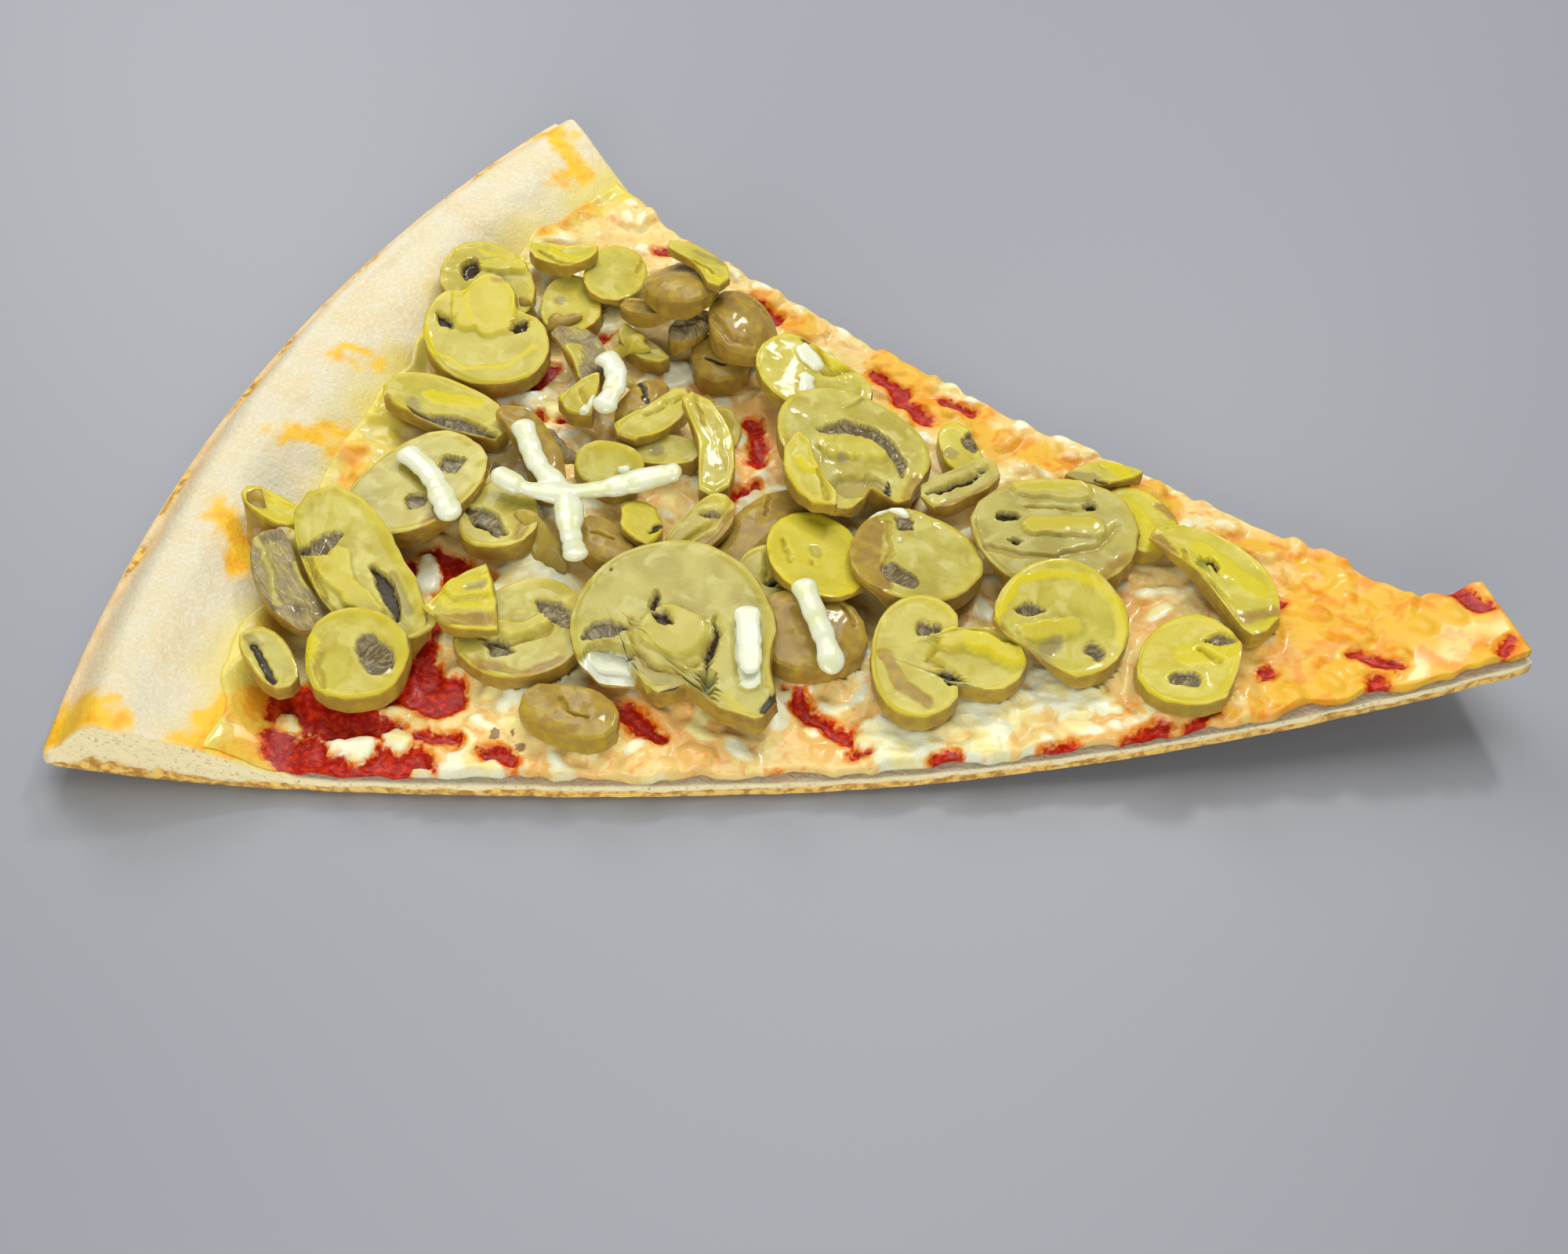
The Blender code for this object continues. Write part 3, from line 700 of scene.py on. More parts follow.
def string_material(settings):
    made, wires = food_material("Cheese strings", 0.25, 0.3, 0.4, (1.0, 0.9, 0.5), 0.003)
    milky = wires.patches(4.0, 3.0, 0.4, 0.7)
    wires.shade(
        Base_Color=wires.mix(milky, settings.string_white, settings.string_yellow),
        Coat_Weight=0.5,
        Coat_Roughness=0.08,
        Normal=wires.bump(wires.noise(2.0, 3.0), 0.3, 0.4),
    )
    return made


def mushroom_material(name, settings):
    """Marks: gills, skin, vividness and painted hollow shade; then the run along gills, milk and
    grey.
    """
    made, wires = food_material(name, 0.3, 0.12, 0.4, (1.0, 0.85, 0.3), 0.003)
    gills, skin, vivid, hollow_shade = wires.marks("cut")
    run, milk, grey = wires.marks("run")[:3]
    cloud = wires.noise(6.0, 4.0)
    cream = wires.times(wires.patches(4.5, 3.0, 0.5, 0.68, 0.6), 0.7)
    fine = wires.noise(0.8, 4.0)
    flesh = wires.mix(wires.ramp(cloud, 0.36, 0.66), settings.flesh_pale, settings.flesh_olive)
    flesh = wires.mix(cream, flesh, settings.flesh_cream)
    flesh = wires.mix(vivid, flesh, settings.flesh_vivid)
    flesh = wires.mix(wires.times(grey, 0.8), flesh, settings.flesh_grey)
    mottle = wires.patches(2.4, 5.0, 0.38, 0.66)
    colour = wires.mix(skin, flesh, wires.mix(mottle, settings.skin_tan, settings.skin_olive))
    # Blades cross the run of a gill mark
    lane = wires.node("ShaderNodeCombineXYZ", X=wires.times(run, 150.0), Y=wires.times(cloud, 9.0))
    stripes = wires.node(
        "ShaderNodeTexNoise", Vector=lane.outputs["Vector"], Scale=1.0, Detail=2.0
    )
    stripes.noise_dimensions = "2D"
    blades = wires.ramp(stripes.outputs["Fac"], 0.36, 0.64)
    ragged = wires.times(wires.minus(blades, 0.5), 0.5)
    reach = wires.plus(gills, wires.times(ragged, wires.ramp(gills, 0.0, 0.3)))
    colour = wires.mix(wires.ramp(reach, 0.12, 0.6), colour, settings.gill_tan)
    # Painted shade: the gaps between the gill blades are near black, the blades' edges grey
    gill_colour = wires.mix(blades, settings.gill_gap_shade, settings.gill_grey)
    colour = wires.mix(wires.ramp(reach, 0.45, 0.95), colour, gill_colour)
    # Painted shade: slits, creases and dark hollows are darkened to the near-black of the gaps
    # between gills
    colour = wires.mix(wires.uneven(hollow_shade, 0.9, 0.5), colour, settings.gill_gap_shade)
    specks = wires.times(wires.ramp(fine, 0.66, 0.76), 0.2)
    colour = wires.mix(specks, colour, settings.skin_tan)
    wet = wires.times(wires.patches(2.2, 3.0, 0.3, 0.7), 0.25)
    relief = wires.plus(wires.times(fine, 0.5), wires.noise(2.8, 3.0))
    relief = wires.plus(relief, wires.times(wires.times(blades, gills), 1.5))
    wires.shade(
        Base_Color=wires.mix(wires.uneven(milk, 1.5, 0.3), colour, settings.string_white),
        Roughness=wires.plus(wires.plus(0.25, wet), wires.times(gills, 0.3)),
        Coat_Weight=0.24,
        Coat_Roughness=0.05,
        Normal=wires.bump(relief, 0.28, 0.4),
    )
    return made


# Strokes on the layers: the width of each, then x and y of its points
RIM_VALLEYS = strokes("""
    9 -103 -20 -101 -45 -98 -78; 5 -112 15 -107 45
""")
RIM_FOLDS = strokes("""
    8 -93 -30 -90 -72; 6 -96 60 -92 88
""")

RED_PATCHES = strokes("""
    8 -79 -70.5 -69 -64 -61 -57; 8 -78 -79 -66 -80 -56 -75; 3.6 -44 -68.5 -40 -68.5;
    3.4 -61 71 -53 75; 3 -64 37 -62 39.5; 5 -71.5 20 -69.5 26; 4 -75 10 -67 13.5; 3 -61.5 13 -60 14;
    2 -86 13.5 -84 13.5; 3.4 -38 62 -30 58; 7 -70 -31 -61 -33; 4 -77 -34 -73 -35;
    3.4 -65 -39 -63 -54; 10 -69 -58 -57 -60; 8 -81 -70 -70 -71; 5 -70 -68 -62 -70;
    5 -80 -77 -62 -79; 2.6 -57 -69 -50 -68; 3.4 -25 26 -22 20 -21 15; 2.8 -24 1 -19 8;
    3.6 0 -37 4 -40; 3.4 3 -39 9 -43.5 15 -45; 3.6 -24 -53 -17 -56; 3 5 -58 13 -59;
    2.6 17 -48 20 -47; 2.6 32 -46 36 -44; 2.6 38 -45 46 -43; 3.6 50 -41 54 -37;
    3.4 63 -34 68 -29; 2.4 73 -28 76 -23;
    2.4 83 -13 85 -12; 3 75 16 78 12; 2.6 80 9 84 5; 1.6 53.5 28.5 54 29; 2.8 99 -5 106 -6;
    3 103 -10 106 -16; 4.4 114 16 119 13; 2.6 124 1 125 4; 3.4 -4 48 2 44; 3.4 1 43 9 38;
    2.4 11 45 17 43
""")

GOLD_PATCHES = strokes("""
    12 -2 50 8 41; 8 18 41 24 35; 6 72 18 79 20; 16 90 4 108 6; 12 90 -16 103 -12; 13 112 6 124 -1;
    7 -95 -12 -91 -22; 6 -93 -49 -91 -59; 9 -86 -72 -84 -82; 6 -36 63 -22 55; 7 30 36 60 26;
    5 -86 65 -80 78
""")

PINK_PATCHES = strokes("""
    14 -29 -50 -10 -55; 10 -24 28 -20 10; 12 60 -30 80 -20; 12 55 0 68 -8; 8 -50 -70 0 -68;
    10 10 -48 24 -40; 9 -12 -2 2 -2; 14 -50 22 -40 28
""")

CURD_PATCHES = strokes("""
    4 -70 -76.5 -64 -75.5; 3 -61 -72 -59 -71; 9 34 -31 45 -29; 7 46 -24 58 -26; 7 -56 -33 -50 -40;
    6 0 -36 6 -34; 6 20 -47 30 -44; 8 -60 -5 -44 -14; 7 -40 -22 -34 -28; 7 -50 -24 -44 -34;
    7 48 -24 54 -30; 6 -34 10 -30 16; 6 62 -12 70 -16; 5 -83 15 -70 16.5 -58 17; 7 -64 42 -61 46;
    7 -44 32 -39 36; 4 -58 50 -56 53; 4.4 -71 -31 -69 -38; 4 -66 -42 -67 -50; 9 -56 -29 -47 -29;
    9 36 -30 40 -41; 7 20 -43 27 -48; 6 -3 -38 2 -45; 6 -19 4 -14 7; 6 6 5 11 8;
    4.6 -49 -73.5 -41 -73.5; 4.6 -52 -78.5 -45 -77.5; 3 -82 -73.5 -80 -73; 5 -47 -57 -34 -48
""")

# Browned spots of cheese: x, y and size
BROWN_SPOTS = [(-44, -65, 3.4), (-39, -65, 4.0), (79, -29, 2.2), (116.5, -7, 1.8), (-41, -63, 2.0)]

RIM_STAINS = strokes("""
    11 -115 -88 -106 -89; 10 -87 -70 -88 -78 -89.5 -88; 4 -106.5 9 -102 10.5; 4 -108 -15.5 -99 -8.5;
    5 -98 -14 -94 -8; 6 -110 -38 -106.5 -40.5 -101.5 -46; 5 -97 97.5 -91.5 92.5 -84 85;
    3 -88 79.5 -85 84
""")

FLESH, SKINNED, GILLED = "mushroom_flesh", "mushroom_skin", "mushroom_gills"

# For each kind of mark: its depth, then gills, skin, vividness, painted hollow shade, milk and grey
MARK_KINDS = {
    "gill": (-1.1, 1.0, 0.0, 0.0, 0.0, 0.0, 0.0),
    "slit": (-1.7, 0.8, 0.0, 0.0, 0.7, 0.0, 0.0),
    "block": (0.8, 0.0, 0.0, 0.35, 0.0, 0.0, 0.0),
    "wall": (-1.0, 0.0, 0.35, 0.0, 0.0, 0.0, 0.5),
    "face": (0.0, -0.6, 0.0, 0.3, 0.0, 0.0, -0.6),
    "crease": (-0.7, 0.15, 0.45, 0.3, 0.2, 0.0, 0.0),
    "spot": (-0.2, 0.25, 0.0, 0.0, 0.0, 0.0, 1.0),
    "skin": (-0.1, 0.0, 0.9, 0.0, 0.0, 0.0, 0.0),
    "vivid": (0.1, 0.0, 0.0, 0.8, 0.0, 0.0, 0.0),
    # A dark mark is a shallow hollow, mostly painted shade
    "dark": (-0.6, 0.5, 0.2, 0.0, 0.8, 0.0, 0.0),
    "milk": (0.7, 0.0, 0.0, 0.0, 0.0, 1.0, 0.0),
    "grey": (-0.2, 0.0, 0.1, 0.0, 0.0, 0.0, 0.9),
    "bare": (0.4, -1.0, 0.0, 0.0, 0.0, 0.0, 0.1),
    "notch": (-4.0, -1.0, 0.0, -0.3, 0.0, 0.6, 0.0),
}


def cut_table(text):
    """Each cut's slot, vividness and marks, from a line for the cut and one for each mark."""
    cuts = {}
    for line in text.strip().splitlines():
        words = line.split()
        if line.startswith(" "):
            marks.append((words[0], *stroke_from(words[1:])))
        else:
            marks = []
            cuts[words[0]] = ("mushroom_" + words[1], float(words[2]), marks)
    return cuts


# The cuts' names, slots and vividness of their yellow, then the kind of each mark, and its stroke
CUTS = cut_table("""
back_disc flesh 0.25
  slit 2 -92 42.5 -92 36.5
  spot 2.2 -85.5 41
  vivid 1.2 -92 45.5 -81.5 48
  block 3 -90 42 -83 46
spot_disc flesh 0.35
  spot 2.4 -73 42.5
tall_disc flesh 0.2
  crease 0.8 -61 60.5 -60.5 56.5
horned_cut flesh 0.45
  vivid 1.5 -82 59.5 -77.5 52.5 -70 50.5
  crease 1 -81 52 -73 48.5
lower_dome skin 0.1
  dark 1 -37.5 34 -33.5 33.5
dark_cap gills 0
  crease 1 -46.5 39.5 -42.5 39
pale_crescent flesh 0.1
  skin 2 -54.5 36 -48.5 36.5
tan_crescent skin 0.1
  crease 0.8 -57.5 44.5 -50 44
wrinkled_dome skin 0.05
  crease 1.3 -37.5 38.5 -32.5 34.5 -29 35.5
  crease 1.1 -40.5 44 -35.5 49 -29 47
leafy_dome skin 0.1
  crease 0.8 -47.5 54 -39.5 44
ragged_shard flesh 0.3
  grey 2 -46 52.5 -39.5 51
  vivid 1.2 -43 47 -37 43
  crease 0.8 -45.5 48.5 -40 46
hat flesh 0.3
  block 5.6 -90 33.5 -86 24.5
  block 5.6 -86 34 -82 25
  block 5.6 -82.5 35 -79.5 27
  skin 0.9 -85 35.5 -80 37.5
  slit 1.5 -92 23 -88 21.5
  slit 1.5 -75 30.5 -77.5 26
  vivid 0.8 -90.5 35 -85.5 24
  vivid 1 -94 20 -89.5 14.5 -82 13.5 -75 17.5 -71.5 25
gill_slice gills 0.1
  bare 3.6 -63.5 26 -61 16.5
  spot 2 -61.5 28.5 -58.5 25.5
corner_scrap flesh 0.2
  crease 0.8 -57.5 14.5 -54.5 9.5
  milk 1.6 -54.5 12.5 -55.5 9.5
brown_cap skin 0
  dark 1.2 -49 23.5 -44.5 17.5
hidden_slab flesh 0.2
  spot 3 -39 7
arch_left flesh 0.25
  crease 0.8 -43 13 -38.5 20.5
arch_right flesh 0.2
  vivid 1.4 -32 27.5 -28.5 21
  crease 0.8 -36.5 21 -31 12.5
small_oval flesh 0.2
  skin 3.5 -53.5 -6 -51 -8.5
  milk 2.4 -43 -1.5
gilled_cap flesh 0.3
  vivid 3 -85.5 3.5 -76.5 5.5
  grey 2.4 -88 0.5 -85 -2
  grey 2.6 -80.5 -2.5 -74 -1 -69 -1
  gill 1.8 -87.5 -1.5 -83.5 -2.5 -78.5 -0.5 -74.5 0 -69.5 -1
  skin 2 -93 -1 -89.5 -6
tan_band skin 0.1
  dark 1.2 -63 8.5 -57 1.5
  milk 1.8 -65.5 6.5
streaked_cut flesh 0.15
  gill 3 -67.5 -20.5 -63 -22.5 -58.5 -24.5
  dark 0.8 -64.5 -23.5 -59.5 -25.5
  skin 2 -56 -21 -55.5 -25
big_oval flesh 0.12
  gill 3.2 -76 -14 -72.5 -10.5
  gill 2.8 -77 -26 -76 -21.5
  skin 2.5 -71.5 -27 -71.5 -30
tan_slice skin 0
  crease 0.7 -43 -18.5 -39 -18.5
skin_band skin 0
  crease 0.6 -14.5 3 -13 -4.5
curved_slice flesh 0.15
  skin 4 -23.5 -18 -18.5 -14 -18 -10
  gill 1 -24.5 -9 -21 -9
  crease 1.2 -25.5 -15.5 -21.5 -11 -19 -4.5
knobbly_scrap flesh 0.4
  vivid 2 -31 -16.5 -26 -14
  crease 1 -28 -18 -26 -13.5
  dark 1 -31 -12.5 -32.5 -15.5
slit_disc flesh 0.15
  crease 0.9 -10 -15 -8 -20.5
  slit 0.8 -8 -21 -5.5 -18.5
  crease 0.6 -7.5 -21 -3.5 -19.5
tan_disc skin 0.1
  crease 0.6 7.5 -22.5 10.5 -25.5
bright_oval flesh 0.7
  spot 2.8 -1 -12
  face 1.7 -1 -12
  crease 0.6 -1 -15 -0.5 -16
  crease 0.8 -7.5 -12 -4.5 -17
dark_gills gills 0
  bare 1.2 -100.5 -43 -94.5 -48 -89.5 -55.5
  bare 1 -90.5 -45.5 -86.5 -49.5
grey_scrap flesh 0.1
  dark 1.6 -88.5 -65.5 -86 -68 -82.5 -71
  grey 2 -90 -64.5 -88.5 -65
yellow_end flesh 0.6
  vivid 3 -104 -35.5 -97.5 -33.5
  skin 3 -103 -40.5 -95.5 -43.5
  dark 1.6 -104.5 -39 -100.5 -42
long_cut flesh 0.2
  block 4 -85 -45.5 -78.5 -48.5 -73 -51.5
  block 3.4 -82.5 -43 -77 -50.5
  gill 2.4 -89.5 -44 -87 -42 -84.5 -38.5
  slit 1.7 -77 -42.5 -73.5 -45 -69.5 -49 -68 -51.5
  grey 1.6 -72.5 -43.5 -67 -49
  crease 1 -88 -45 -84 -49 -82 -51.5
  dark 1.5 -90.5 -47 -87 -50.5
window_cut flesh 0.3
  gill 5 -70 -59 -67 -61
  crease 0.9 -77.5 -63 -77 -65.5 -74.5 -68.5
  vivid 3 -80 -67.5 -80 -61.5
  milk 1.6 -65 -62.5
round_cut flesh 0.1
  gill 3 -46.5 -37.5 -43 -38.5 -39.5 -41
  gill 2.6 -51.5 -49.5 -47 -50
  block 3 -52.5 -46 -47 -45 -43.5 -40
  crease 0.9 -52.5 -48.5 -47 -48 -42.5 -44 -42.5 -40.5
  skin 2 -52 -54 -43 -54 -38 -48.5
leaf_disc flesh 0.45
  block 5 -60.5 -42 -55 -38.5
  vivid 1.2 -64 -44 -60 -46 -55 -44 -51 -39
  spot 1.6 -58 -41 -56.5 -39
  skin 3 -60.5 -50 -49 -44.5
mustard_oval skin 0.6
  crease 0.6 -35 -57 -31.5 -59.5 -28.5 -60
largest_whole flesh 0.05
  block 9.5 -21 -39 -18.5 -39.5
  grey 3 -24.5 -46 -18.5 -49 -11.5 -47
  crease 0.9 -28 -38.5 -25.5 -44.5 -22 -47 -17 -47 -13 -44 -12.5 -38
  slit 0.9 -25.6 -31.5 -24.8 -36
  slit 1.8 -24.4 -36.8 -20.4 -37.6
  slit 0.9 -13.3 -34 -11.9 -39.3 -12 -42.5 -11.2 -46
  gill 2.4 -34.6 -44.8 -32.5 -42.3 -28 -40.8
  notch 5 -31 -47.4 -27.6 -46.8
  notch 5 -33.6 -51 -28 -50.5
  notch 3.2 -27 -47.5 -24.6 -50.5 -21 -52.5
  notch 2.2 -11 -46.5 -10.2 -48.6 -10.4 -51.5
  dark 1 -17.5 -52 -14.5 -49.5 -12 -49
  dark 2 1.5 -47.5 1 -50.5
  vivid 2 -6.5 -49 -3 -52.5
  milk 3.4 -7.5 -36 -3.5 -45
  dark 0.5 -35 -29.5
cheesy_crescent flesh 0.4
  vivid 3 -12.5 38 -6 41.5
  gill 1.8 -19.5 40 -17.5 41
  crease 0.8 -13 34.5 -7.5 38.5 -4 41
  crease 1 -15.5 39.5 -12 36.5
  milk 3.4 -18 37.5 -15 35.5
  milk 3 -15.5 31 -14.5 28
arched_whole flesh 0.12
  block 5.5 -5.5 13.5 2.5 17.5
  wall 5 0 5 5 8
  gill 2.4 -9.2 16.8 -4 20.8 1.5 21 5 20 8.3 16.6 9 14.2
  spot 2.4 -2.6 11.5
  skin 3 12.5 14 12 8.5
  grey 2 -12.5 9 -10.5 7
  dark 1 7 10.5 8 6.5
ragged_scrap flesh 0.35
  vivid 1.4 -9.5 4.5 -6.5 2 -3 3.5
  crease 0.8 -5 2.5 -1.5 -3
cap_quarter flesh 0.45
  grey 3 16.5 25.5
  gill 2.8 19 32.5 20.5 27.5
  dark 0.8 20.5 34.5 22.5 29
gill_strip flesh 0.05
  slit 0.8 15 11 18.5 14 22.5 17.5 24.5 21
  skin 1.2 18 9.5 23.5 14 27 19
two_hole_cut flesh 0.1
  skin 6 7 -3 8.5 -12 12.5 -18.5
  gill 2.6 11.5 1.5 14.5 0.5
  gill 4 14 -13 17.5 -14.5
  crease 1 10 0 12.5 -7.5 12.5 -13.5 15 -17
  milk 2.2 6.5 0 8.5 4 12 3.5
  milk 1.2 13.5 -4
sheer_disc flesh 0.6
  vivid 6 53 18.5 57 13
  skin 2 58.5 21.5 63 18
crumpled_scrap flesh 0.2
  grey 4 38.5 24.5 44.5 24.5
  vivid 3 47 30 51.5 26
  dark 1 45.5 24.5 47.5 23.5
ring_cut flesh 0
  skin 2.5 30 -7 38.5 -7.5 49.5 -4.5 54.5 3.5
  block 5 32.5 17 43 18.5
  block 4.6 36.5 7 47.5 9.5
  vivid 4.4 32 17.5 41.5 20.5
  vivid 4.2 36.5 7 46.5 11
  slit 2.2 30 8.5 32 8.5
  slit 1.4 33 2 35 2.5
  slit 1.4 45 15 47 15.5
  crease 1.5 29.5 -0.5 35.5 -1 42.5 0.5 49 5 52 11.5
  crease 0.8 34 12 46.5 14.5
bent_stem flesh 0.25
  block 4 26.5 -26.5 34 -24.5 40 -25.5
  vivid 4 32 -25 40 -25
  gill 2.6 23 -25.5 25 -25
  slit 1.8 28 -33 32 -33
  skin 2.5 18 -32.5 22 -37.5 27.5 -39
  crease 0.9 26 -27 25.5 -31 28.5 -31.5
rimmed_cap flesh 0.25
  block 4 41 -21.5 48.5 -17
  vivid 1.8 35 -20.5 37 -12 42 -7.5 49 -5.5 55 -8.5 59 -18 58 -20
  gill 1.6 38 -17.5 42.5 -15.5
  spot 2.6 44.5 -24.5 46.5 -21
  gill 2.4 52.5 -18 54 -21
  crease 0.8 36.5 -22 38.5 -23.5
elbow_slice flesh 0.5
  skin 5 59.5 9.5 62.5 4
  vivid 4 68 10 79.5 3
  slit 0.8 68 5.5 70 7.5 72 5
  crease 0.9 64.5 8.5 66 5 71.5 1.5 73.5 -1
  skin 2.4 76.5 -6 83.5 -1.5
gap_cut flesh 0.55
  vivid 5 70 -15.5 76 -13
  gill 2 72 -11 77 -10
  gill 3 68.5 -21 71.5 -21
  crease 1 71 -13.5 75 -15.5
""")


# The mushroom meshes: scales of the rings below, steps down a wall, and the least thickness
LOW_SCALES = np.array((1.0, 0.8, 0.55, 0.3))
WALL_STEPS = 6
THINNEST = 0.6


def mushroom_materials(settings):
    """One material for each slot that the record has for mushrooms."""
    made = {}
    for slot in (FLESH, SKINNED, GILLED):
        name = slot.replace("_", " ").capitalize()
        made[slot] = bpy.data.materials.get(name) or mushroom_material(name, settings)
    return made


def merged_node(name):
    """A copy of a CAD node's mesh with its loose triangles joined, in millimetres."""
    shaped = bmesh.new()
    shaped.from_mesh(NODES[name].data)
    bmesh.ops.remove_doubles(shaped, verts=shaped.verts, dist=1e-6)
    bmesh.ops.scale(shaped, vec=Vector((1, 1, 1)) / MM, verts=shaped.verts)
    return shaped


def outline_of(shaped, tree, count):
    """The pole of a slab's fan of faces, and where its outline lies around that pole."""
    shaped.verts.ensure_lookup_table()
    pole = max(shaped.verts, key=lambda vert: len(vert.link_edges)).co
    reach = max(Vector((v.co.x - pole.x, v.co.y - pole.y)).length for v in shaped.verts)
    outline = np.empty((count, 2))
    for k in range(count):
        way = Vector((cos(2 * pi * k / count), sin(2 * pi * k / count), 0))
        start = Vector((pole.x, pole.y, 100.0))
        outside = reach + 0.2
        while outside > 0.4 and not tree.ray_cast(start + way * (outside - 0.3), DOWN)[0]:
            outside -= 0.3
        inside = outside - 0.3
        for _ in range(5):
            middle = (inside + outside) / 2
            if tree.ray_cast(start + way * middle, DOWN)[0]:
                inside = middle
            else:
                outside = middle
        outline[k] = (start + way * inside)[:2]
    return np.array(pole[:2]), outline


def cast_heights(tree, places, centre, from_above):
    """Height of the CAD solid's top or underside at each place."""
    start, way = (100.0, DOWN) if from_above else (-100.0, UP)
    found = np.empty(len(places))
    for k, place in enumerate(places):
        for draw_in in (0.97, 0.94, 0.88, 0.75, 0.5):
            x, y = centre + (place - centre) * draw_in
            hit = tree.ray_cast(Vector((x, y, start)), way)[0]
            if hit:
                break
        found[k] = hit.z
    return found


def smoothed(grid, times):
    """Evens out heights on a polar grid: rings by places around."""
    for _ in range(times):
        around = (np.roll(grid, 1, 1) + 2 * grid + np.roll(grid, -1, 1)) / 4
        inner = np.vstack([around[:1], around[:-1]])
        outer = np.vstack([around[1:], around[-1:]])
        grid = (inner + 2 * around + outer) / 4
    return grid


def marks_on(x, y, marks, seed):
    """What marks add at each place, how far along its mark a place is, and what is notched."""
    warp_x = 0.4 * lumps(x, y, 2.2, seed + 1) + 0.2 * lumps(x, y, 0.9, seed + 2)
    warp_y = 0.4 * lumps(x, y, 2.2, seed + 3) + 0.2 * lumps(x, y, 0.9, seed + 4)
    amounts = np.zeros((7, *x.shape))
    run = np.zeros(x.shape)
    notched = np.zeros(x.shape)
    for kind, width, points in marks:
        distance, along = to_line(x + warp_x, y + warp_y, points)
        whole = length_of(np.diff(points, axis=0)).sum()
        if kind in ("gill", "slit") and whole > width:
            # Windows of gills are widest half-way and end in points
            width = width * (0.35 + 1.2 * np.sin(pi * np.clip(along / whole, 0, 1)))
        mask = smooth((width / 2 - distance) / 0.9 + 0.5)
        steep = smooth((width / 2 - distance) / 0.6 + 0.5)
        for k, amount in enumerate(MARK_KINDS[kind]):
            value = amount * (steep if k == 0 else mask)
            if kind == "block":
                # Blocks side by side make one flat block
                amounts[k] = np.where(np.abs(value) > np.abs(amounts[k]), value, amounts[k])
            else:
                amounts[k] += value
        run = np.where(mask > 0.02, along, run)
        if kind == "notch":
            notched = np.maximum(notched, steep)
    return amounts, run, notched


def slab_faces(around, rings):
    """Faces of a closed slab: the top's pole, rings of points outwards and down, a low pole."""
    faces = []
    last = 1 + (rings - 1) * around
    for i in range(around):
        j = (i + 1) % around
        faces.append((0, 1 + i, 1 + j))
        for inside in range(1, last, around):
            outside = inside + around
            faces.append((inside + i, outside + i, outside + j, inside + j))
        faces.append((last + j, last + i, last + around))
    return faces


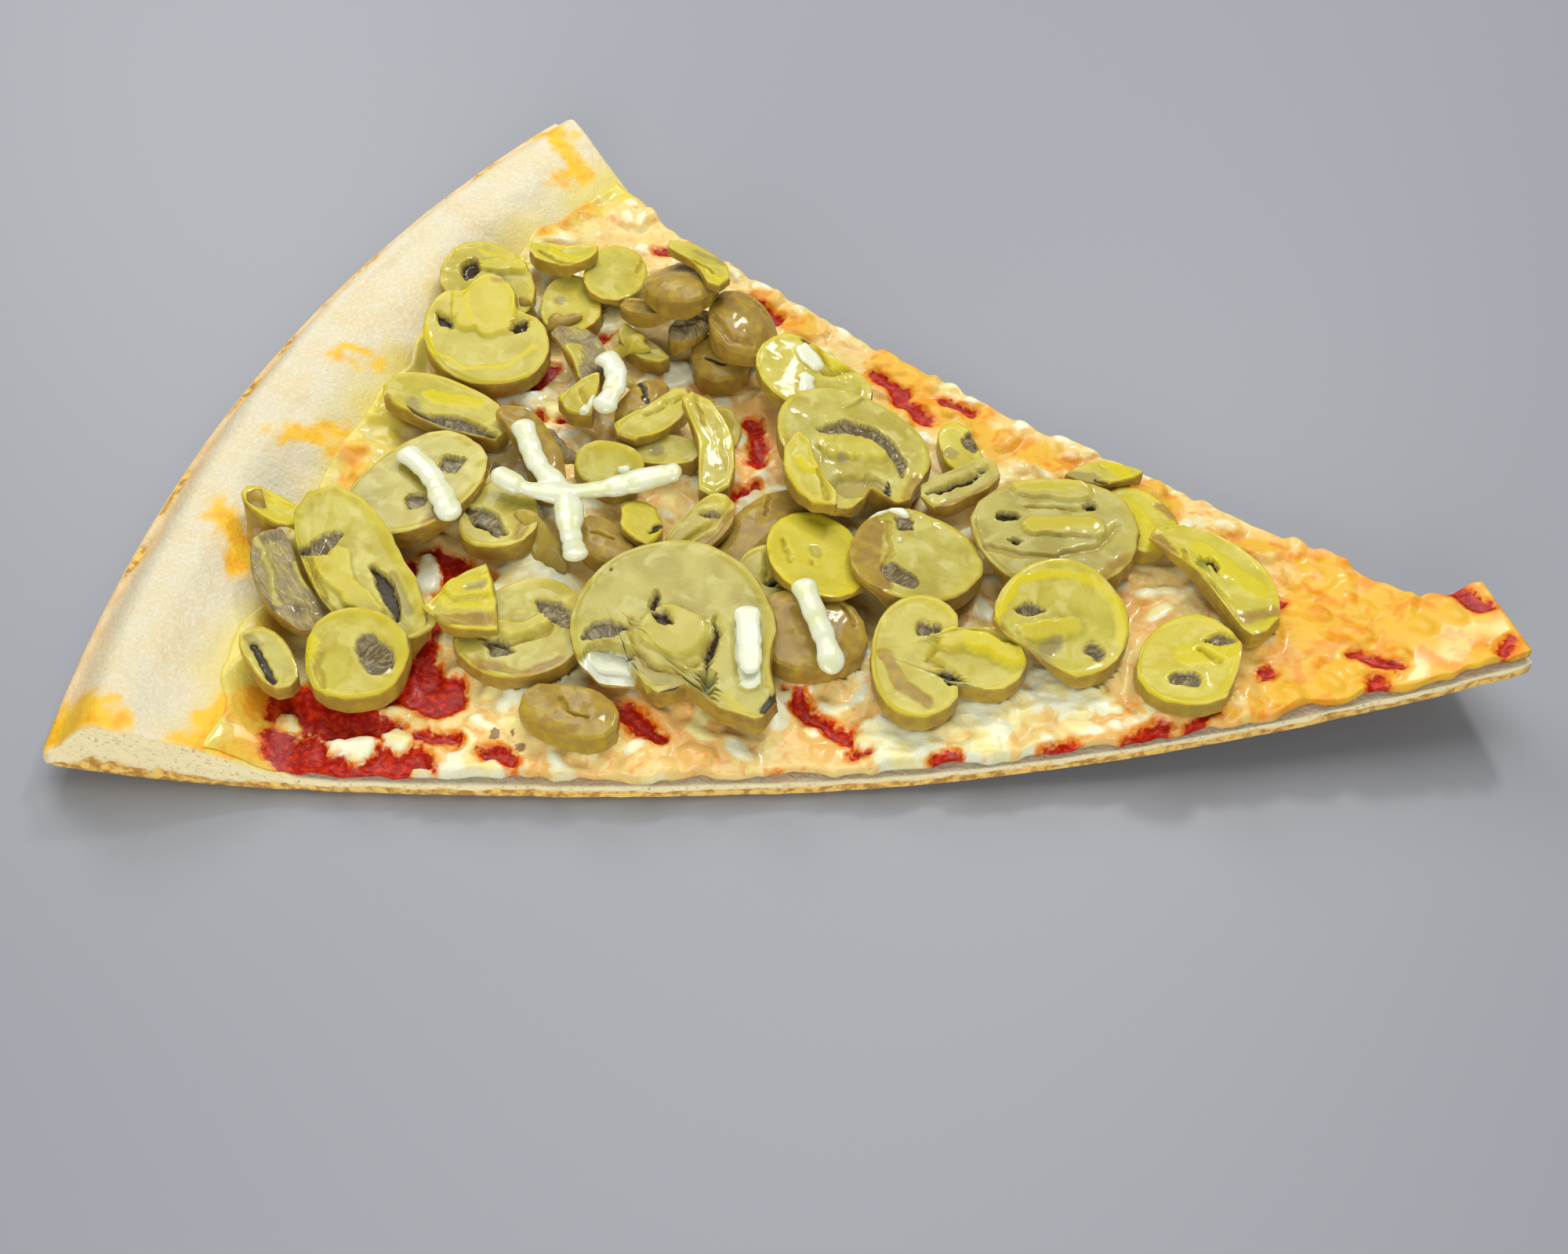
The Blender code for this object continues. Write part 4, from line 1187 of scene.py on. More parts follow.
def mushroom_piece(name, material):
    """One cut of mushroom in its CAD solid's outline, with its marks pressed in."""
    slot, vividness, marks = CUTS[name]
    node = "mushroom_" + name
    seed = 50 + 10 * sorted(CUTS).index(name)
    shaped = merged_node(node)
    tree = BVHTree.FromBMesh(shaped)
    size = max(NODES[node].dimensions[:2]) / MM / 2
    around = int(max(110, min(250, size * 15)))
    rings = int(max(18, min(56, size * 3.4)))
    centre, outline = outline_of(shaped, tree, around)
    shaped.free()
    turn = np.arange(around) / around * 2 * pi
    ragged = 0.985 + 0.014 * lumps(np.cos(turn) * 6, np.sin(turn) * 6, 1.0, seed)
    outline = centre + (outline - centre) * ragged[:, None]
    scales = np.linspace(0, 1, rings + 1)[1:] ** 0.9
    plan = centre + (outline - centre)[None] * scales[:, None, None]
    top = cast_heights(tree, plan.reshape(-1, 2), centre, True).reshape(rings, around)
    top = smoothed(top, 3)
    low_plan = centre + (outline - centre)[None] * LOW_SCALES[:, None, None]
    low = cast_heights(tree, low_plan.reshape(-1, 2), centre, False).reshape(-1, around)
    low = smoothed(low, 2)

    x, y = plan[..., 0], plan[..., 1]
    amounts, run, notched = marks_on(x, y, marks, seed)
    depth, gills, skin, vivid, hollow_shade, milk, grey = amounts
    inset = (1 - scales)[:, None] * length_of(outline - centre)[None, :, 0]
    skin = np.maximum(skin, smooth(1 - inset / 0.5) * 0.7) * (1 - notched)
    vivid = vividness + vivid + 0.6 * np.exp(-inset / 1.3)
    relief = 0.22 * lumps(x, y, 7.0, seed + 5) + 0.04 * lumps(x, y, 1.8, seed + 6)
    if slot == SKINNED:
        skin = np.maximum(skin, 0.9 + 0.1 * lumps(x, y, 3.0, seed + 7))
        relief = relief * 2.6
    if slot == GILLED:
        bare = np.clip(-gills, 0, 1)
        gills = (0.7 + 0.3 * lumps(x, y, 2.2, seed + 8)) * (1 - bare) + np.maximum(gills, 0)
        relief = relief + 0.5 * lumps(x, y, 1.5, seed + 9) * (1 - bare)
        run = x * 0.6 + y * 0.8
    if slot == FLESH:
        # A cut face dries hollow inside its skin
        relief = relief - 0.35 * smooth(inset / 2.5)
    # The dullest pieces are greyer all over
    grey = np.maximum(grey, 0.4 * (1 - min(1.0, vividness / 0.14)))
    floor = low[np.clip(np.round((1 - scales) * 4).astype(int), 0, 3)]
    depth = depth * np.maximum(smooth(inset / 0.7 + 0.25), notched)
    top = np.maximum(top + depth + relief, floor + THINNEST)

    sides = []
    for k in range(1, WALL_STEPS):
        share = k / WALL_STEPS
        dents = lumps(outline[:, 0], outline[:, 1] + 3 * k, 1.8, seed)
        bulge = 1 + 0.012 * sin(pi * share) + 0.012 * dents
        height = between(top[-1], low[0], share)
        sides.append(np.column_stack([centre + (outline - centre) * bulge[:, None], height]))
    points = [
        np.array([(*centre, top[0].mean())]),
        np.dstack([plan, top]).reshape(-1, 3),
        *sides,
        np.dstack([low_plan, low]).reshape(-1, 3),
        np.array([(*centre, low[-1].mean())]),
    ]
    total = rings + len(sides) + len(low)
    faces = slab_faces(around, total)
    piece = new_piece("cut_" + name, np.concatenate(points), faces)
    piece.data.set_sharp_from_angle(angle=radians(48))

    def over_all(top_values, rest_value):
        rest = np.full((total - rings) * around + 1, rest_value)
        return np.concatenate([top_values[0, :1], top_values.ravel(), rest])

    # The fourth channel is the painted shade in slits, creases and dark hollows
    cut = (
        over_all(gills, 0.0),
        over_all(skin, 1.0 - 0.35 * vividness),
        over_all(vivid, min(0.8, vividness + 0.3)),
        over_all(hollow_shade, 0.0),
    )
    paint(piece, "cut", np.clip(cut, 0, 1))
    marks_run = (over_all(run, 0.0) / 100, over_all(milk, 0.0), over_all(grey, 0.1))
    paint(piece, "run", np.clip(marks_run, -10, 10))
    return finish_piece(piece, material, slot, node)


# Settings


def colour_setting(name, description, default):
    return FloatVectorProperty(
        name=name, description=description, subtype="COLOR", size=3, min=0, max=1, default=default
    )


class PizzaSettings(bpy.types.PropertyGroup):
    dough_pale: colour_setting("Pale dough", "Floury top of the rim", (0.7, 0.63, 0.43))
    dough_cream: colour_setting("Cream dough", "Warmer patches of the rim", (0.71, 0.59, 0.34))
    flour_white: colour_setting("Flour", "Dry flour dusted on the crust", (0.77, 0.72, 0.58))
    film_yellow: colour_setting(
        "Yellow film", "Thin oily cheese beside the rim", (0.72, 0.58, 0.08)
    )
    crust_gold: colour_setting("Gold crust", "Baked outer edge", (0.8, 0.5, 0.19))
    crust_tan: colour_setting("Tan crust", "Lighter baked patches", (0.86, 0.62, 0.31))
    crust_brown: colour_setting("Brown crust", "Darkest baked specks", (0.5, 0.25, 0.05))
    line_gold: colour_setting("Gold underside", "Baked underside", (0.9, 0.58, 0.15))
    stain_orange: colour_setting("Orange stain", "Oil baked into the crust", (0.82, 0.38, 0.01))
    stain_yellow: colour_setting("Yellow stain", "Lighter baked oil", (0.86, 0.52, 0.02))
    crumb_white: colour_setting("Crumb", "Torn crumb on the cut faces", (0.9, 0.77, 0.44))
    crumb_shadow: colour_setting("Crumb holes", "Small holes in the crumb", (0.58, 0.42, 0.18))
    oil_orange: colour_setting("Orange oil", "Oil that soaks into the cheese", (0.76, 0.22, 0.01))
    cheese_cream: colour_setting("Cream cheese", "Thin melted cheese", (0.82, 0.66, 0.25))
    cheese_pink: colour_setting("Pink cheese", "Thin cheese over sauce", (0.78, 0.42, 0.1))
    cheese_gold: colour_setting("Golden cheese", "Baked lumps", (0.78, 0.44, 0.03))
    cheese_orange: colour_setting("Orange cheese", "Baked hollows", (0.76, 0.29, 0.006))
    curd_white: colour_setting("White curd", "Thick white lumps of cheese", (0.8, 0.8, 0.56))
    curd_yellow: colour_setting("Yellow curd", "Yellower lumps of cheese", (0.82, 0.7, 0.26))
    char_brown: colour_setting("Char", "Browned spots of cheese", (0.28, 0.15, 0.03))
    sauce_deep: colour_setting("Deep sauce", "Wet tomato sauce", (0.34, 0.006, 0.001))
    sauce_bright: colour_setting("Bright sauce", "Tomato pulp", (0.62, 0.035, 0.003))
    string_white: colour_setting("White string", "Strings of melted cheese", (0.71, 0.72, 0.53))
    string_yellow: colour_setting(
        "Yellow string", "Thinner parts of the strings", (0.66, 0.68, 0.38)
    )
    flesh_pale: colour_setting("Pale flesh", "Cut face of a mushroom", (0.52, 0.46, 0.11))
    flesh_cream: colour_setting("Cream flesh", "Palest parts of a cut face", (0.63, 0.575, 0.22))
    flesh_olive: colour_setting("Olive flesh", "Darker parts of a cut face", (0.4, 0.325, 0.055))
    flesh_vivid: colour_setting("Vivid flesh", "Bright yellow stems and edges", (0.6, 0.5, 0.018))
    flesh_grey: colour_setting("Grey flesh", "Dull parts beside the gills", (0.31, 0.26, 0.09))
    skin_tan: colour_setting("Tan skin", "Outer skin of a mushroom", (0.3, 0.178, 0.035))
    skin_olive: colour_setting("Olive skin", "Yellower outer skin", (0.4, 0.262, 0.03))
    gill_tan: colour_setting("Tan gills", "Soft edge of the gills", (0.34, 0.26, 0.1))
    # Painted shade in the gaps between gills, and in slits and creases
    gill_gap_shade: colour_setting("Dark gills", "Gaps between gills", (0.05, 0.035, 0.013))
    gill_grey: colour_setting("Grey gills", "Edges of gills", (0.3, 0.24, 0.12))
    curd_count: IntProperty(
        name="Curds", description="Number of small cheese lumps", default=950, min=0
    )
    curd_height: FloatProperty(
        name="Curd height", description="How far a cheese lump stands up", default=1.7, min=0, max=3
    )


def ragged_cut(least, spread, seed):
    """How far a layer stays inside a cut edge, unevenly along it."""

    def inset(from_rim, edge):
        wavy = lumps(from_rim, 40.0 * edge, 6.0, seed)
        wavy = wavy + 0.5 * lumps(from_rim, 9.0 * edge, 2.2, seed)
        return least + spread * np.clip(0.5 + 0.45 * wavy, 0, 1)

    return inset


# The dough's first row lies nearer to the rim than this
RIM_ROW = 1.4


class PIZZA_OT_dough(bpy.types.Operator):
    """Rim and base of baked dough, with torn crumb on the cut faces"""

    bl_idname = "pizza.dough"
    bl_label = "Dough"

    def execute(self, context):
        steps = np.concatenate([np.linspace(0, 0.19, 84), np.linspace(0.19, 1, 110)[1:]])
        grid = slice_grid(steps, 250, 1.3, SLICE_LENGTH - 0.5, ragged_cut(0.5, 0.3, 71))
        plan, from_rim, side, from_cut = grid
        top = dough_surface(plan, from_rim, side)
        bottom = underside(plan[..., 0], from_rim) + 0.3 * smooth(1 - from_cut / 1.5)

        def wall(share, x, y, z, d):
            torn = 0.25 * lumps(x + 1.3 * z, y - 0.9 * z, 1.3, 4) + 0.2 * lumps(x, y + z, 0.7, 5)
            round_rim = 1.25 * sin(pi * min(1.0, share * 1.15)) ** 0.7
            return np.where(d < RIM_ROW, round_rim, (torn + 0.1) * sin(pi * share) ** 0.5)

        piece, share, distance = sheet_piece("dough_body", plan, from_rim, top, bottom, wall, 14)
        x, y, _ = places_of(piece)
        is_wall = (share > 0) & (share <= 1)
        at_rim = distance < RIM_ROW
        golden = 0.85 * smooth(1 - distance / 10.5) * (1 + 0.45 * lumps(x, y, 7.0, 6))
        thin = smooth((distance - 25) / 25)
        line = 0.72 - 0.38 * thin + 0.1 * lumps(x, y, 5.0, 8) + 0.08 * lumps(x, y, 1.5, 9)
        cut_face = is_wall & ~at_rim
        golden = np.where(cut_face, smooth((share - line) / 0.1 + 0.5), golden)
        golden = np.where(is_wall & at_rim, 0.5 + 0.28 * share, golden)
        golden = np.where(share > 1.5, 0.95, golden)
        stained = warped(painted(RIM_STAINS, 6.0), x, y, 2.0) * (share < 0.25)
        crumb = np.where(cut_face, 1 - golden, 0.0)
        crumb = np.where((share == 0) & ~at_rim, 0.4, crumb)
        wander = distance + 4 * lumps(x, y, 7.0, 10)
        film = smooth((wander - 20) / 12) * (1 - smooth((wander - 38) / 8))
        film = film * (share < 0.5) * 0.8
        paint(piece, "bake", np.clip([golden, stained, crumb, film], 0, 1))
        finish_piece(piece, dough_material(context.scene.pizza), "dough", "dough")
        return {"FINISHED"}


class PIZZA_OT_sauce(bpy.types.Operator):
    """Thin sheet of tomato sauce between the dough and the cheese"""

    bl_idname = "pizza.sauce"
    bl_label = "Sauce"

    def execute(self, context):
        start = 37.0 + 10.0 * smooth((0.4 - np.linspace(0, 1, 100)[None, :]) / 0.25)
        steps = np.linspace(0, 1, 130)
        grid = slice_grid(steps, 100, start, SLICE_LENGTH - 3.0, ragged_cut(2.6, 0.8, 72))
        plan, from_rim, side, _ = grid
        floor = dough_surface(plan, from_rim, side) + GAP
        top = floor + SAUCE_THICKNESS * (0.8 + 0.15 * lumps(plan[..., 0], plan[..., 1], 3.0, 11))

        def wall(share, x, y, z, d):
            return 0.15 * lumps(x, y, 2.0, 12)

        piece, _, _ = sheet_piece("sauce_sheet", plan, from_rim, top, floor, wall, 3)
        finish_piece(piece, sauce_material(context.scene.pizza), "sauce", "sauce")
        return {"FINISHED"}


# The height that stands for no mushroom, and the highest reading that counts as one
NO_MUSHROOM = 99.0
UNDER_MUSHROOM = 60.0


def mushroom_cover():
    """Lowest underside of the mushrooms over the plan, in millimetres, or NO_MUSHROOM."""
    canvas = Canvas()
    joined = bmesh.new()
    for name in CUTS:
        joined.from_mesh(NODES["mushroom_" + name].data)
    tree = BVHTree.FromBMesh(joined)
    joined.free()
    canvas.value[:] = NO_MUSHROOM
    for i in range(0, canvas.x.shape[0], 2):
        for j in range(0, canvas.x.shape[1], 2):
            place = Vector((canvas.x[i, j], canvas.y[i, j], -10.0)) * MM
            hit = tree.ray_cast(place, UP)[0]
            if hit:
                canvas.value[i : i + 2, j : j + 2] = hit.z / MM
    return canvas


def scattered_curds(count):
    """Canvases of the cheese lumps' heights, of all their paint, and of the measured white ones."""
    mound, curd, white = Canvas(), Canvas(), Canvas()
    chance = np.random.RandomState(21)
    for width, places in CURD_PATCHES:
        first, last = np.array(places[0]), np.array(places[-1])
        reach = np.hypot(*(last - first)) + width
        for _ in range(int(reach * width / 5) + 2):
            middle = first + (last - first) * chance.uniform()
            middle = middle + chance.uniform(-0.35, 0.35, 2) * width
            long = chance.uniform(3.5, 7.0)
            wide = long * chance.uniform(0.55, 0.8)
            turn = chance.uniform(0, 180)
            mound.dome(*middle, long, wide, turn, chance.uniform(0.7, 1.1))
            for canvas in (curd, white):
                canvas.spot(*middle, long, wide, turn, 1.0, 0.5)
    for _ in range(count):
        share = 1 - chance.uniform(0.0, 0.95) ** 0.5 * 0.93
        x, y = plan_points(share, chance.uniform(0.0, 1.0))
        long = chance.uniform(3.5, 11.0)
        wide = chance.uniform(3.0, 5.5)
        turn = chance.uniform(0, 180)
        mound.dome(x, y, long, min(long, wide), turn, chance.uniform(0.4, 1.0))
        if chance.uniform() < 0.7:
            strength = chance.uniform(0.45, 1.0)
            curd.spot(x, y, long * 0.9, min(long, wide) * 0.85, turn, strength, 0.6)
    mound.soften(1)
    return mound, curd, white


class PIZZA_OT_cheese(bpy.types.Operator):
    """Melted cheese with white curds, sauce showing through and baked patches"""

    bl_idname = "pizza.cheese"
    bl_label = "Cheese"

    def execute(self, context):
        settings = context.scene.pizza
        across = np.linspace(0, 1, 240)[None, :]
        start = TOPPING_START + 1.8 + 1.5 * ripple(across * 190, 9.0, 73)
        steps = np.linspace(0, 1, 360)
        grid = slice_grid(steps, 240, start, SLICE_LENGTH - 0.9, ragged_cut(0.8, 1.5, 74))
        plan, from_rim, side, from_cut = grid
        x, y = plan[..., 0], plan[..., 1]
        dough = dough_surface(plan, from_rim, side)
        in_front = painted([(24.0, [(-88, -50), (-80, -88)])], 10.0).read(x, y)
        from_start = from_rim - start - 9.0 * in_front

        cover = mushroom_cover()
        near = Canvas()
        near.value = (cover.value < NO_MUSHROOM).astype(float)
        near.soften(7)
        red = painted(RED_PATCHES, 3.6)
        gold = painted(GOLD_PATCHES, 8.0)
        pink = painted(PINK_PATCHES, 7.0)
        brown = Canvas()
        for place_x, place_y, size in BROWN_SPOTS:
            brown.spot(place_x, place_y, size, size * 0.7, 20, 1.0, 0.8)
        mound, curd, white = scattered_curds(settings.curd_count)

        reds = warped(red, x, y, 0.8) * (1 - 0.9 * smooth(warped(white, x, y, 0.4)))
        high = warped(mound, x, y, 0.5) * settings.curd_height
        raised = smooth((from_start - 1.5) / 6.0)
        rise = high * (1 - 0.75 * reds) - 1.0 * smooth(reds) + 0.2 * lumps(x, y, 7.0, 35)
        rise = rise + 0.8 * smooth(near.read(x, y) * 1.7)
        sauce = GAP + SAUCE_THICKNESS + GAP
        base = dough + (0.06 + (sauce - 0.06) * raised * smooth(from_cut / 3.4))
        body = (0.2 + 0.75 * smooth((from_start - 4) / 14)) * smooth(from_cut / 2.2 + 0.3)
        full = dough + 0.15 + sauce * raised * smooth(from_cut / 1.6 + 0.35)
        rise = rise * smooth((from_start + 3 * high) / 9)
        top = full + body + rise * smooth(from_cut / 1.5 + 0.2)
        covered = cover.read(x, y)
        top = np.where(covered < UNDER_MUSHROOM, np.minimum(top, covered - 0.25), top)
        top = np.maximum(top, base + 0.12)
        top = np.minimum(top, CAD_BOX[1].z / MM - 0.3)

        def wall(share, ex, ey, z, d):
            return 0.35 * sin(pi * share) * (1 + lumps(ex, ey, 3.0, 36))

        piece, share, distance = sheet_piece("cheese_sheet", plan, from_rim, top, base, wall, 6)
        x, y, _ = places_of(piece)
        white_here = warped(white, x, y, 0.4)
        red_paint = warped(red, x, y, 0.8) * (1 - 0.9 * smooth(white_here))
        curd_paint = warped(curd, x, y, 0.5) * (1 - red_paint)
        # The thin tip is golden all over
        gold_paint = np.maximum(warped(gold, x, y, 1.5), 0.7 * smooth((x - 66) / 26))
        melt = (curd_paint, red_paint, gold_paint, warped(brown, x, y, 0.8))
        paint(piece, "melt", np.clip(melt, 0, 1))
        from_film = distance - 30 - 6 * lumps(x, y, 6.0, 37) - 5 * lumps(x, y, 2.4, 38)
        film = 1 - smooth(from_film / 7)
        film = film * (1 - smooth(warped(gold, x, y, 1.5))) * (1 - smooth(2 * white_here))
        paint(piece, "tone", np.clip((film, warped(pink, x, y, 1.5)), 0, 1))
        finish_piece(piece, cheese_material(settings), "cheese", "cheese")
        return {"FINISHED"}


class PIZZA_OT_mushrooms(bpy.types.Operator):
    """Every cut of mushroom, in the outline of its own CAD solid"""

    bl_idname = "pizza.mushrooms"
    bl_label = "Mushrooms"

    def execute(self, context):
        materials = mushroom_materials(context.scene.pizza)
        for name, (slot, _, _) in CUTS.items():
            mushroom_piece(name, materials[slot])
        return {"FINISHED"}


# Strings of melted cheese: the CAD node, then a half width, a height and the points along it
STRINGS = {
    "strand_cross": [
        (2.1, 1.3, [(-65, 1), (-62, -3), (-58, -8), (-50, -14), (-46, -22), (-41.5, -30)]),
        (2.0, 1.3, [(-65, -14), (-56, -14.5), (-46, -10), (-38, -5), (-31, -1)]),
    ],
    "strand_oval": [(2.2, 1.1, [(-84, -13), (-77, -17), (-72, -22), (-67, -28)])],
    "strand_corner": [(2.2, 1.3, [(-57, 24), (-53, 21), (-51, 16), (-51.5, 9)])],
    "strand_disc": [(2.1, 1.1, [(-1, -23), (3, -28), (7, -33), (10, -38)])],
    "strand_cap": [(2.2, 0.6, [(-8.5, -31.5), (-6, -38), (-3.5, -45)])],
}


def curved_route(route):
    """Close points on a smooth curve through a route's points."""
    route = np.array(route, float)
    t = np.linspace(0, len(route) - 1, 28 * (len(route) - 1) + 1)
    i = np.clip(t.astype(int), 0, len(route) - 2)
    f = (t - i)[:, None]
    a, b = route[np.maximum(i - 1, 0)], route[i]
    c, d = route[i + 1], route[np.minimum(i + 2, len(route) - 1)]
    middle = b * (2 * f**3 - 3 * f**2 + 1) + (c - a) * 0.5 * (f**3 - 2 * f**2 + f)
    middle = middle + c * (3 * f**2 - 2 * f**3) + (d - b) * 0.5 * (f**3 - f**2)
    along = np.concatenate([[0], np.cumsum(length_of(np.diff(middle, axis=0))[:, 0])])
    return middle, along


# Points around a string or a loose bit
RING = 16
RING_ANGLES = np.arange(RING) / RING * 2 * pi


def rings_around(middle, z, wide, tall, lean=0.0):
    """Points and faces of a closed strand, with rings of points along its middle line."""
    way = np.gradient(middle, axis=0)
    way /= length_of(way)
    points = []
    for k in range(len(middle)):
        off = np.cos(RING_ANGLES) * wide[k]
        x = middle[k, 0] - way[k, 1] * off
        y = middle[k, 1] + way[k, 0] * off
        height = z[k] + np.sin(RING_ANGLES) * tall[k] + lean * off
        points += np.column_stack([x, y, height]).tolist()
    last = len(points) - RING
    faces = [list(range(RING - 1, -1, -1)), list(range(last, last + RING))]
    for low in range(0, last, RING):
        for i in range(RING):
            j = (i + 1) % RING
            faces.append((low + i, low + j, low + RING + j, low + RING + i))
    return points, faces


def string_shape(route, half_width, half_height, tree, seed):
    """A strand along a route, resting at the CAD string's own height."""
    middle, along = curved_route(route)
    heights = []
    for x, y in middle:
        below = tree.ray_cast(Vector((x, y, -100)), UP)[0]
        heights.append(below.z if below else None)
    known = [k for k, height in enumerate(heights) if height is not None]
    heights = [heights[min(known, key=lambda other: abs(other - k))] for k in range(len(heights))]
    z = evened(np.array(heights) + 0.75 * half_height, 3)
    swell = 1 + 0.24 * ripple(along, 3.4, seed) + 0.12 * ripple(along, 1.4, seed)
    from_end = np.minimum(along, along[-1] - along)
    # Each end closes in a half ball
    rounded = np.sqrt(np.clip(1 - (1 - np.minimum(from_end / (1.1 * half_width), 1)) ** 2, 0.01, 1))
    tall = half_height * swell * rounded
    return rings_around(middle, z, 1.12 * half_width * swell * rounded, tall)


# Loose bits of mushroom between the cuts: slot, skin, vividness, half width, lean, points
FRAGMENTS = {
    "bit_crescent": (SKINNED, 0.8, 0.1, 2.0, 0.3, [(-80, 38), (-76, 35.5), (-70, 36), (-67, 39)]),
    "bit_wedge": (FLESH, 0.1, 0.7, 2.4, 0.3, [(-59, 33), (-54.5, 34.5), (-50, 34)]),
    "bit_strip": (FLESH, 0.3, 0.3, 1.5, 0.4, [(-58, 29.5), (-54, 27.5), (-50.5, 26.5)]),
    "bit_back": (FLESH, 0.3, 0.5, 2.6, 0.5, [(-34, 25), (-29, 22), (-26, 17)]),
    "bit_gilled": (GILLED, 0.2, 0.0, 1.8, 0.4, [(-64, 9), (-58, 4), (-53, 3)]),
    "bit_leaf": (SKINNED, 0.6, 0.2, 2.6, 0.4, [(-58, -19), (-52, -22), (-46, -26)]),
    "bit_dark": (GILLED, 0.4, 0.0, 2.0, 0.4, [(-70, -3), (-66, -6.5), (-61, -9)]),
    "bit_curl": (FLESH, 0.2, 0.4, 1.1, 0.4, [(-65, -44), (-62.5, -49), (-64.5, -55)]),
    "bit_side": (FLESH, 0.4, 0.2, 1.9, 0.3, [(-98, -25), (-94.5, -27.5), (-91, -31)]),
    "bit_brown": (SKINNED, 0.9, 0.1, 2.2, 0.3, [(-105, -33), (-102, -38), (-99, -43)]),
}


def loose_bit(name, materials, tree, seed):
    """A thin curled bit that lies on what is under it."""
    slot, skin, vivid, half_width, lean, route = FRAGMENTS[name]
    middle, along = curved_route(route)
    sway = (ripple(along, 2.5, seed), lumps(0 * along, along, 2.5, seed))
    middle = middle + 0.25 * np.column_stack(sway)
    z = np.array([tree.ray_cast(Vector((x, y, 100)), DOWN)[0].z for x, y in middle])
    arch = np.sin(pi * np.clip(along / along[-1], 0.02, 0.98))
    taper = arch**0.6 * (1 + 0.2 * ripple(along, 2.0, seed + 1))
    wide = half_width * taper
    points, faces = rings_around(middle, evened(z, 6) + 0.5, wide, 0.85 * arch**0.3, lean)
    piece = new_piece(name, points, faces)
    around = np.tile(np.sin(RING_ANGLES), len(middle))
    edge = 1 - smooth(np.abs(around) / 0.5)
    full = np.ones(len(points))
    gills = full * (0.8 if slot == GILLED else 0.0)
    cut = (gills, np.maximum(skin * full, 0.5 * edge), vivid * full, 0 * full)
    paint(piece, "cut", np.clip(cut, 0, 1))
    paint(piece, "run", (np.repeat(along, RING) / 100, 0 * full, 0.1 * full))
    finish_piece(piece, materials[slot], slot)


class PIZZA_OT_loose_bits(bpy.types.Operator):
    """Small loose bits of mushroom between the cuts"""

    bl_idname = "pizza.loose_bits"
    bl_label = "Loose bits"

    def execute(self, context):
        materials = mushroom_materials(context.scene.pizza)
        joined = bmesh.new()
        for piece in bpy.data.objects:
            if piece.name in ("dough_body", "cheese_sheet") or piece.name.startswith("cut_"):
                joined.from_mesh(piece.data)
        bmesh.ops.scale(joined, vec=Vector((1, 1, 1)) / MM, verts=joined.verts)
        tree = BVHTree.FromBMesh(joined)
        joined.free()
        for k, name in enumerate(FRAGMENTS):
            loose_bit(name, materials, tree, 90 + k)
        return {"FINISHED"}


class PIZZA_OT_strings(bpy.types.Operator):
    """Strings of white melted cheese across the mushrooms"""

    bl_idname = "pizza.strings"
    bl_label = "Cheese strings"

    def execute(self, context):
        material = string_material(context.scene.pizza)
        for node, routes in STRINGS.items():
            shaped = merged_node(node)
            tree = BVHTree.FromBMesh(shaped)
            shaped.free()
            points = []
            faces = []
            for seed, (half_width, half_height, route) in enumerate(routes):
                added, sides = string_shape(route, half_width, half_height, tree, 60 + seed)
                faces += [[len(points) + corner for corner in side] for side in sides]
                points += added
            piece = new_piece(node.replace("strand", "string"), points, faces)
            bpy.ops.object.select_all(action="DESELECT")
            piece.select_set(True)
            context.view_layer.objects.active = piece
            # Remeshing melts crossing strings together
            melt = piece.modifiers.new("melt", "REMESH")
            melt.mode = "VOXEL"
            melt.voxel_size = 0.3 * MM
            even = piece.modifiers.new("even", "SMOOTH")
            even.iterations = 6
            for modifier in (melt, even):
                bpy.ops.object.modifier_apply(modifier=modifier.name)
            piece.data.shade_smooth()
            finish_piece(piece, material, "melted_cheese", node)
        return {"FINISHED"}


# The camera, measured in the photograph, and each light's name, size, energy and place, in metres
CAMERA_BACK = Vector((0.15345, -0.62187, 0.76794))
CAMERA_UP = Vector((-0.24722, 0.72827, 0.63915))
CAMERA_PLACE = Vector((0.050986, -0.243536, 0.276906))
CAMERA_LENS = 43.4
LIGHTS = (
    ("Ceiling light", 0.6, 4.8, (-0.05, 0.3, 0.9)),
    ("Window light", 0.35, 2.2, (-0.45, 0.45, 0.5)),
    ("Front light", 0.5, 4.4, (0.1, -0.75, 0.3)),
    ("Glint light", 0.1, 1.8, (0.1, 0.55, 0.66)),
)


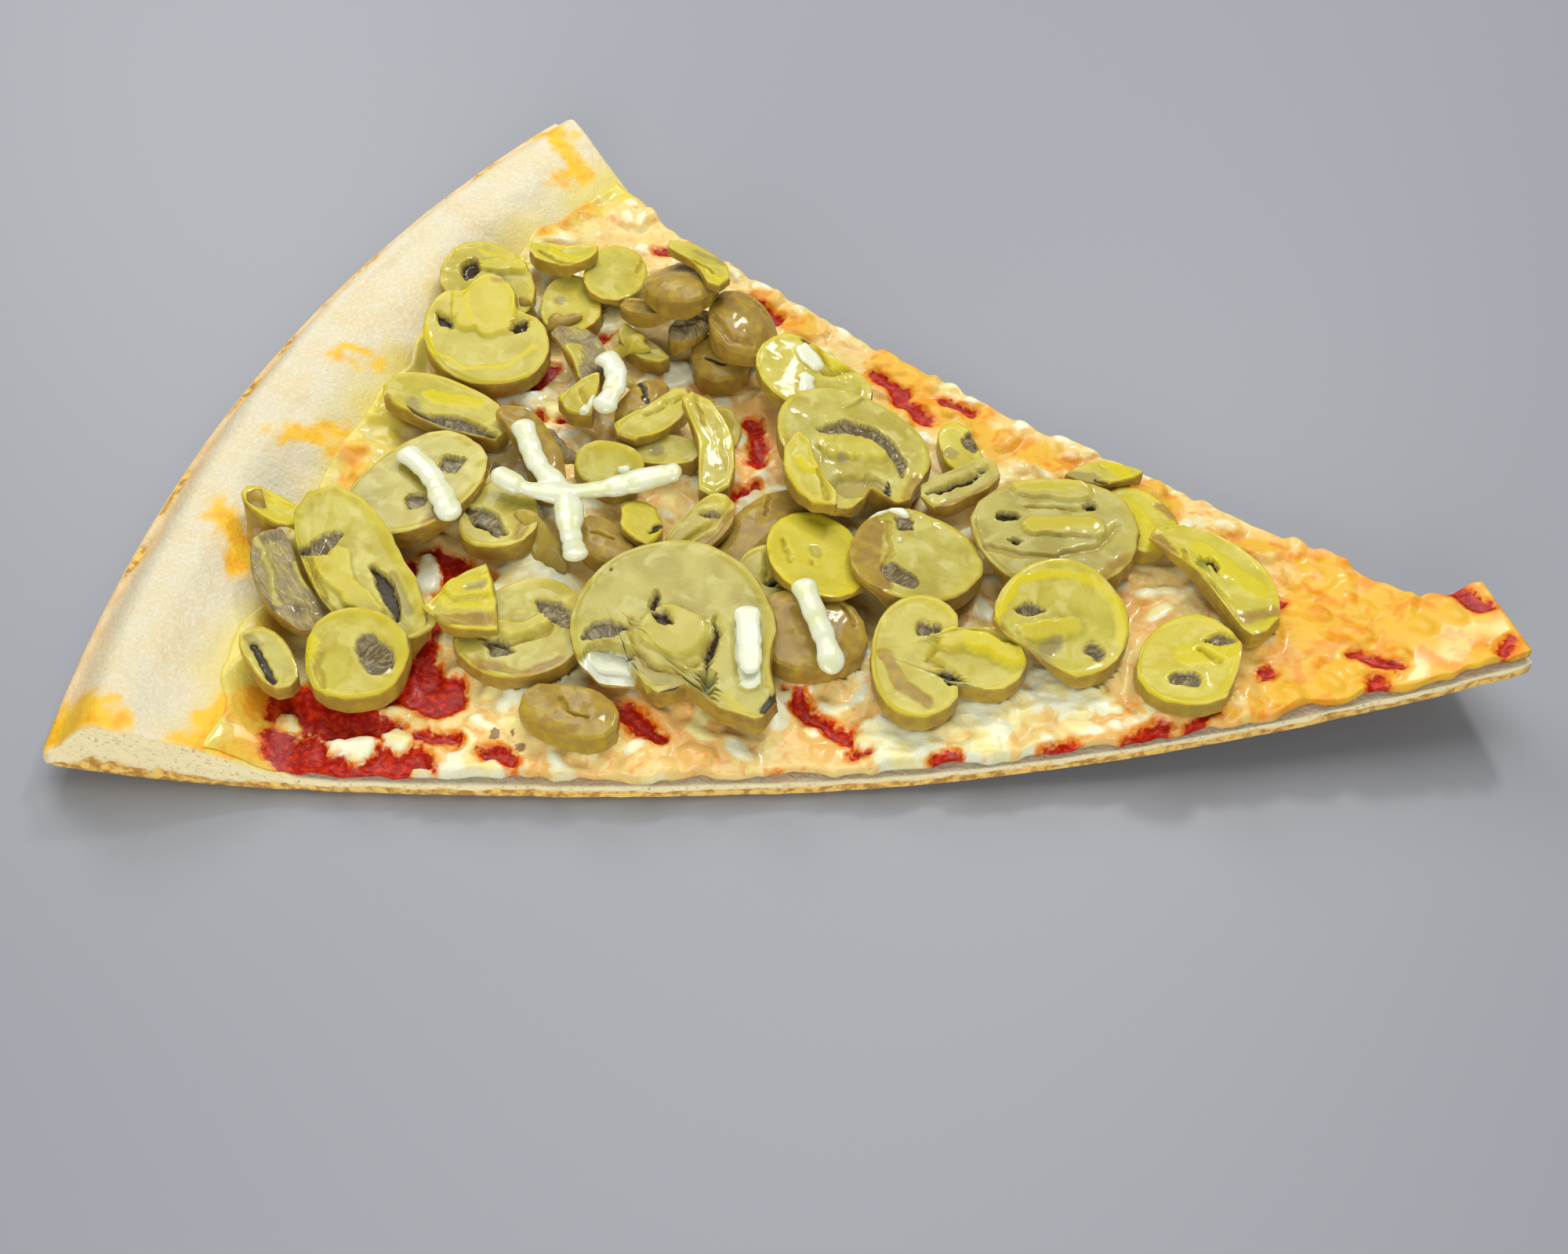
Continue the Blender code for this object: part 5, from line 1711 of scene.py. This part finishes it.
class PIZZA_OT_stage(bpy.types.Operator):
    """Camera at the photograph's viewing angle, grey floor and soft lights"""

    bl_idname = "pizza.stage"
    bl_label = "Stage"

    def execute(self, context):
        right = CAMERA_UP.cross(CAMERA_BACK).normalized()
        up = CAMERA_BACK.cross(right)
        camera = bpy.data.cameras.new("Camera")
        camera.sensor_width = 36.0
        camera.lens = CAMERA_LENS
        camera.clip_start = 0.01
        viewer = bpy.data.objects.new("Camera", camera)
        turn = Matrix((right, up, CAMERA_BACK)).transposed().to_4x4()
        viewer.matrix_world = Matrix.Translation(CAMERA_PLACE) @ turn
        context.collection.objects.link(viewer)
        context.scene.camera = viewer

        bpy.ops.object.select_all(action="DESELECT")
        bpy.ops.mesh.primitive_plane_add(size=6.0, location=(0, 0, -0.0002))
        floor = context.active_object
        floor.name = "floor"
        grey = (0.27, 0.28, 0.305, 1)
        floor.data.materials.append(new_material("Grey floor", Base_Color=grey, Roughness=0.5)[0])

        for name, size, energy, place in LIGHTS:
            light = bpy.data.lights.new(name, "AREA")
            light.size = size
            light.energy = energy
            lamp = bpy.data.objects.new(name, light)
            lamp.location = place
            lamp.rotation_euler = (-Vector(place)).to_track_quat("-Z", "Y").to_euler()
            context.collection.objects.link(lamp)
        world = bpy.data.worlds.new("Soft room")
        world.use_nodes = True
        sky = world.node_tree.nodes["Background"].inputs
        sky["Color"].default_value = (0.95, 0.98, 1, 1)
        sky["Strength"].default_value = 0.25
        context.scene.world = world
        context.scene.view_settings.view_transform = "Standard"
        return {"FINISHED"}


OPERATORS = (
    PIZZA_OT_dough,
    PIZZA_OT_sauce,
    PIZZA_OT_cheese,
    PIZZA_OT_mushrooms,
    PIZZA_OT_loose_bits,
    PIZZA_OT_strings,
    PIZZA_OT_stage,
)


class PIZZA_PT_panel(bpy.types.Panel):
    """Lists the pieces of the slice"""

    bl_idname = "PIZZA_PT_panel"
    bl_label = "Mushroom Pizza Slice"
    bl_space_type = "VIEW_3D"
    bl_region_type = "UI"
    bl_category = "Pizza"

    def draw(self, context):
        for operator in OPERATORS:
            self.layout.operator(operator.bl_idname)
        for name in PizzaSettings.__annotations__:
            self.layout.prop(context.scene.pizza, name)


CLASSES = (PizzaSettings, *OPERATORS, PIZZA_PT_panel)


def register():
    for made in CLASSES:
        bpy.utils.register_class(made)
    bpy.types.Scene.pizza = PointerProperty(type=PizzaSettings)


def unregister():
    del bpy.types.Scene.pizza
    for made in reversed(CLASSES):
        bpy.utils.unregister_class(made)


def main():
    register()
    bpy.ops.pizza.dough()
    bpy.ops.pizza.sauce()
    bpy.ops.pizza.cheese()
    bpy.ops.pizza.mushrooms()
    bpy.ops.pizza.loose_bits()
    bpy.ops.pizza.strings()
    bpy.ops.pizza.stage()


if __name__ == "__main__":
    main()
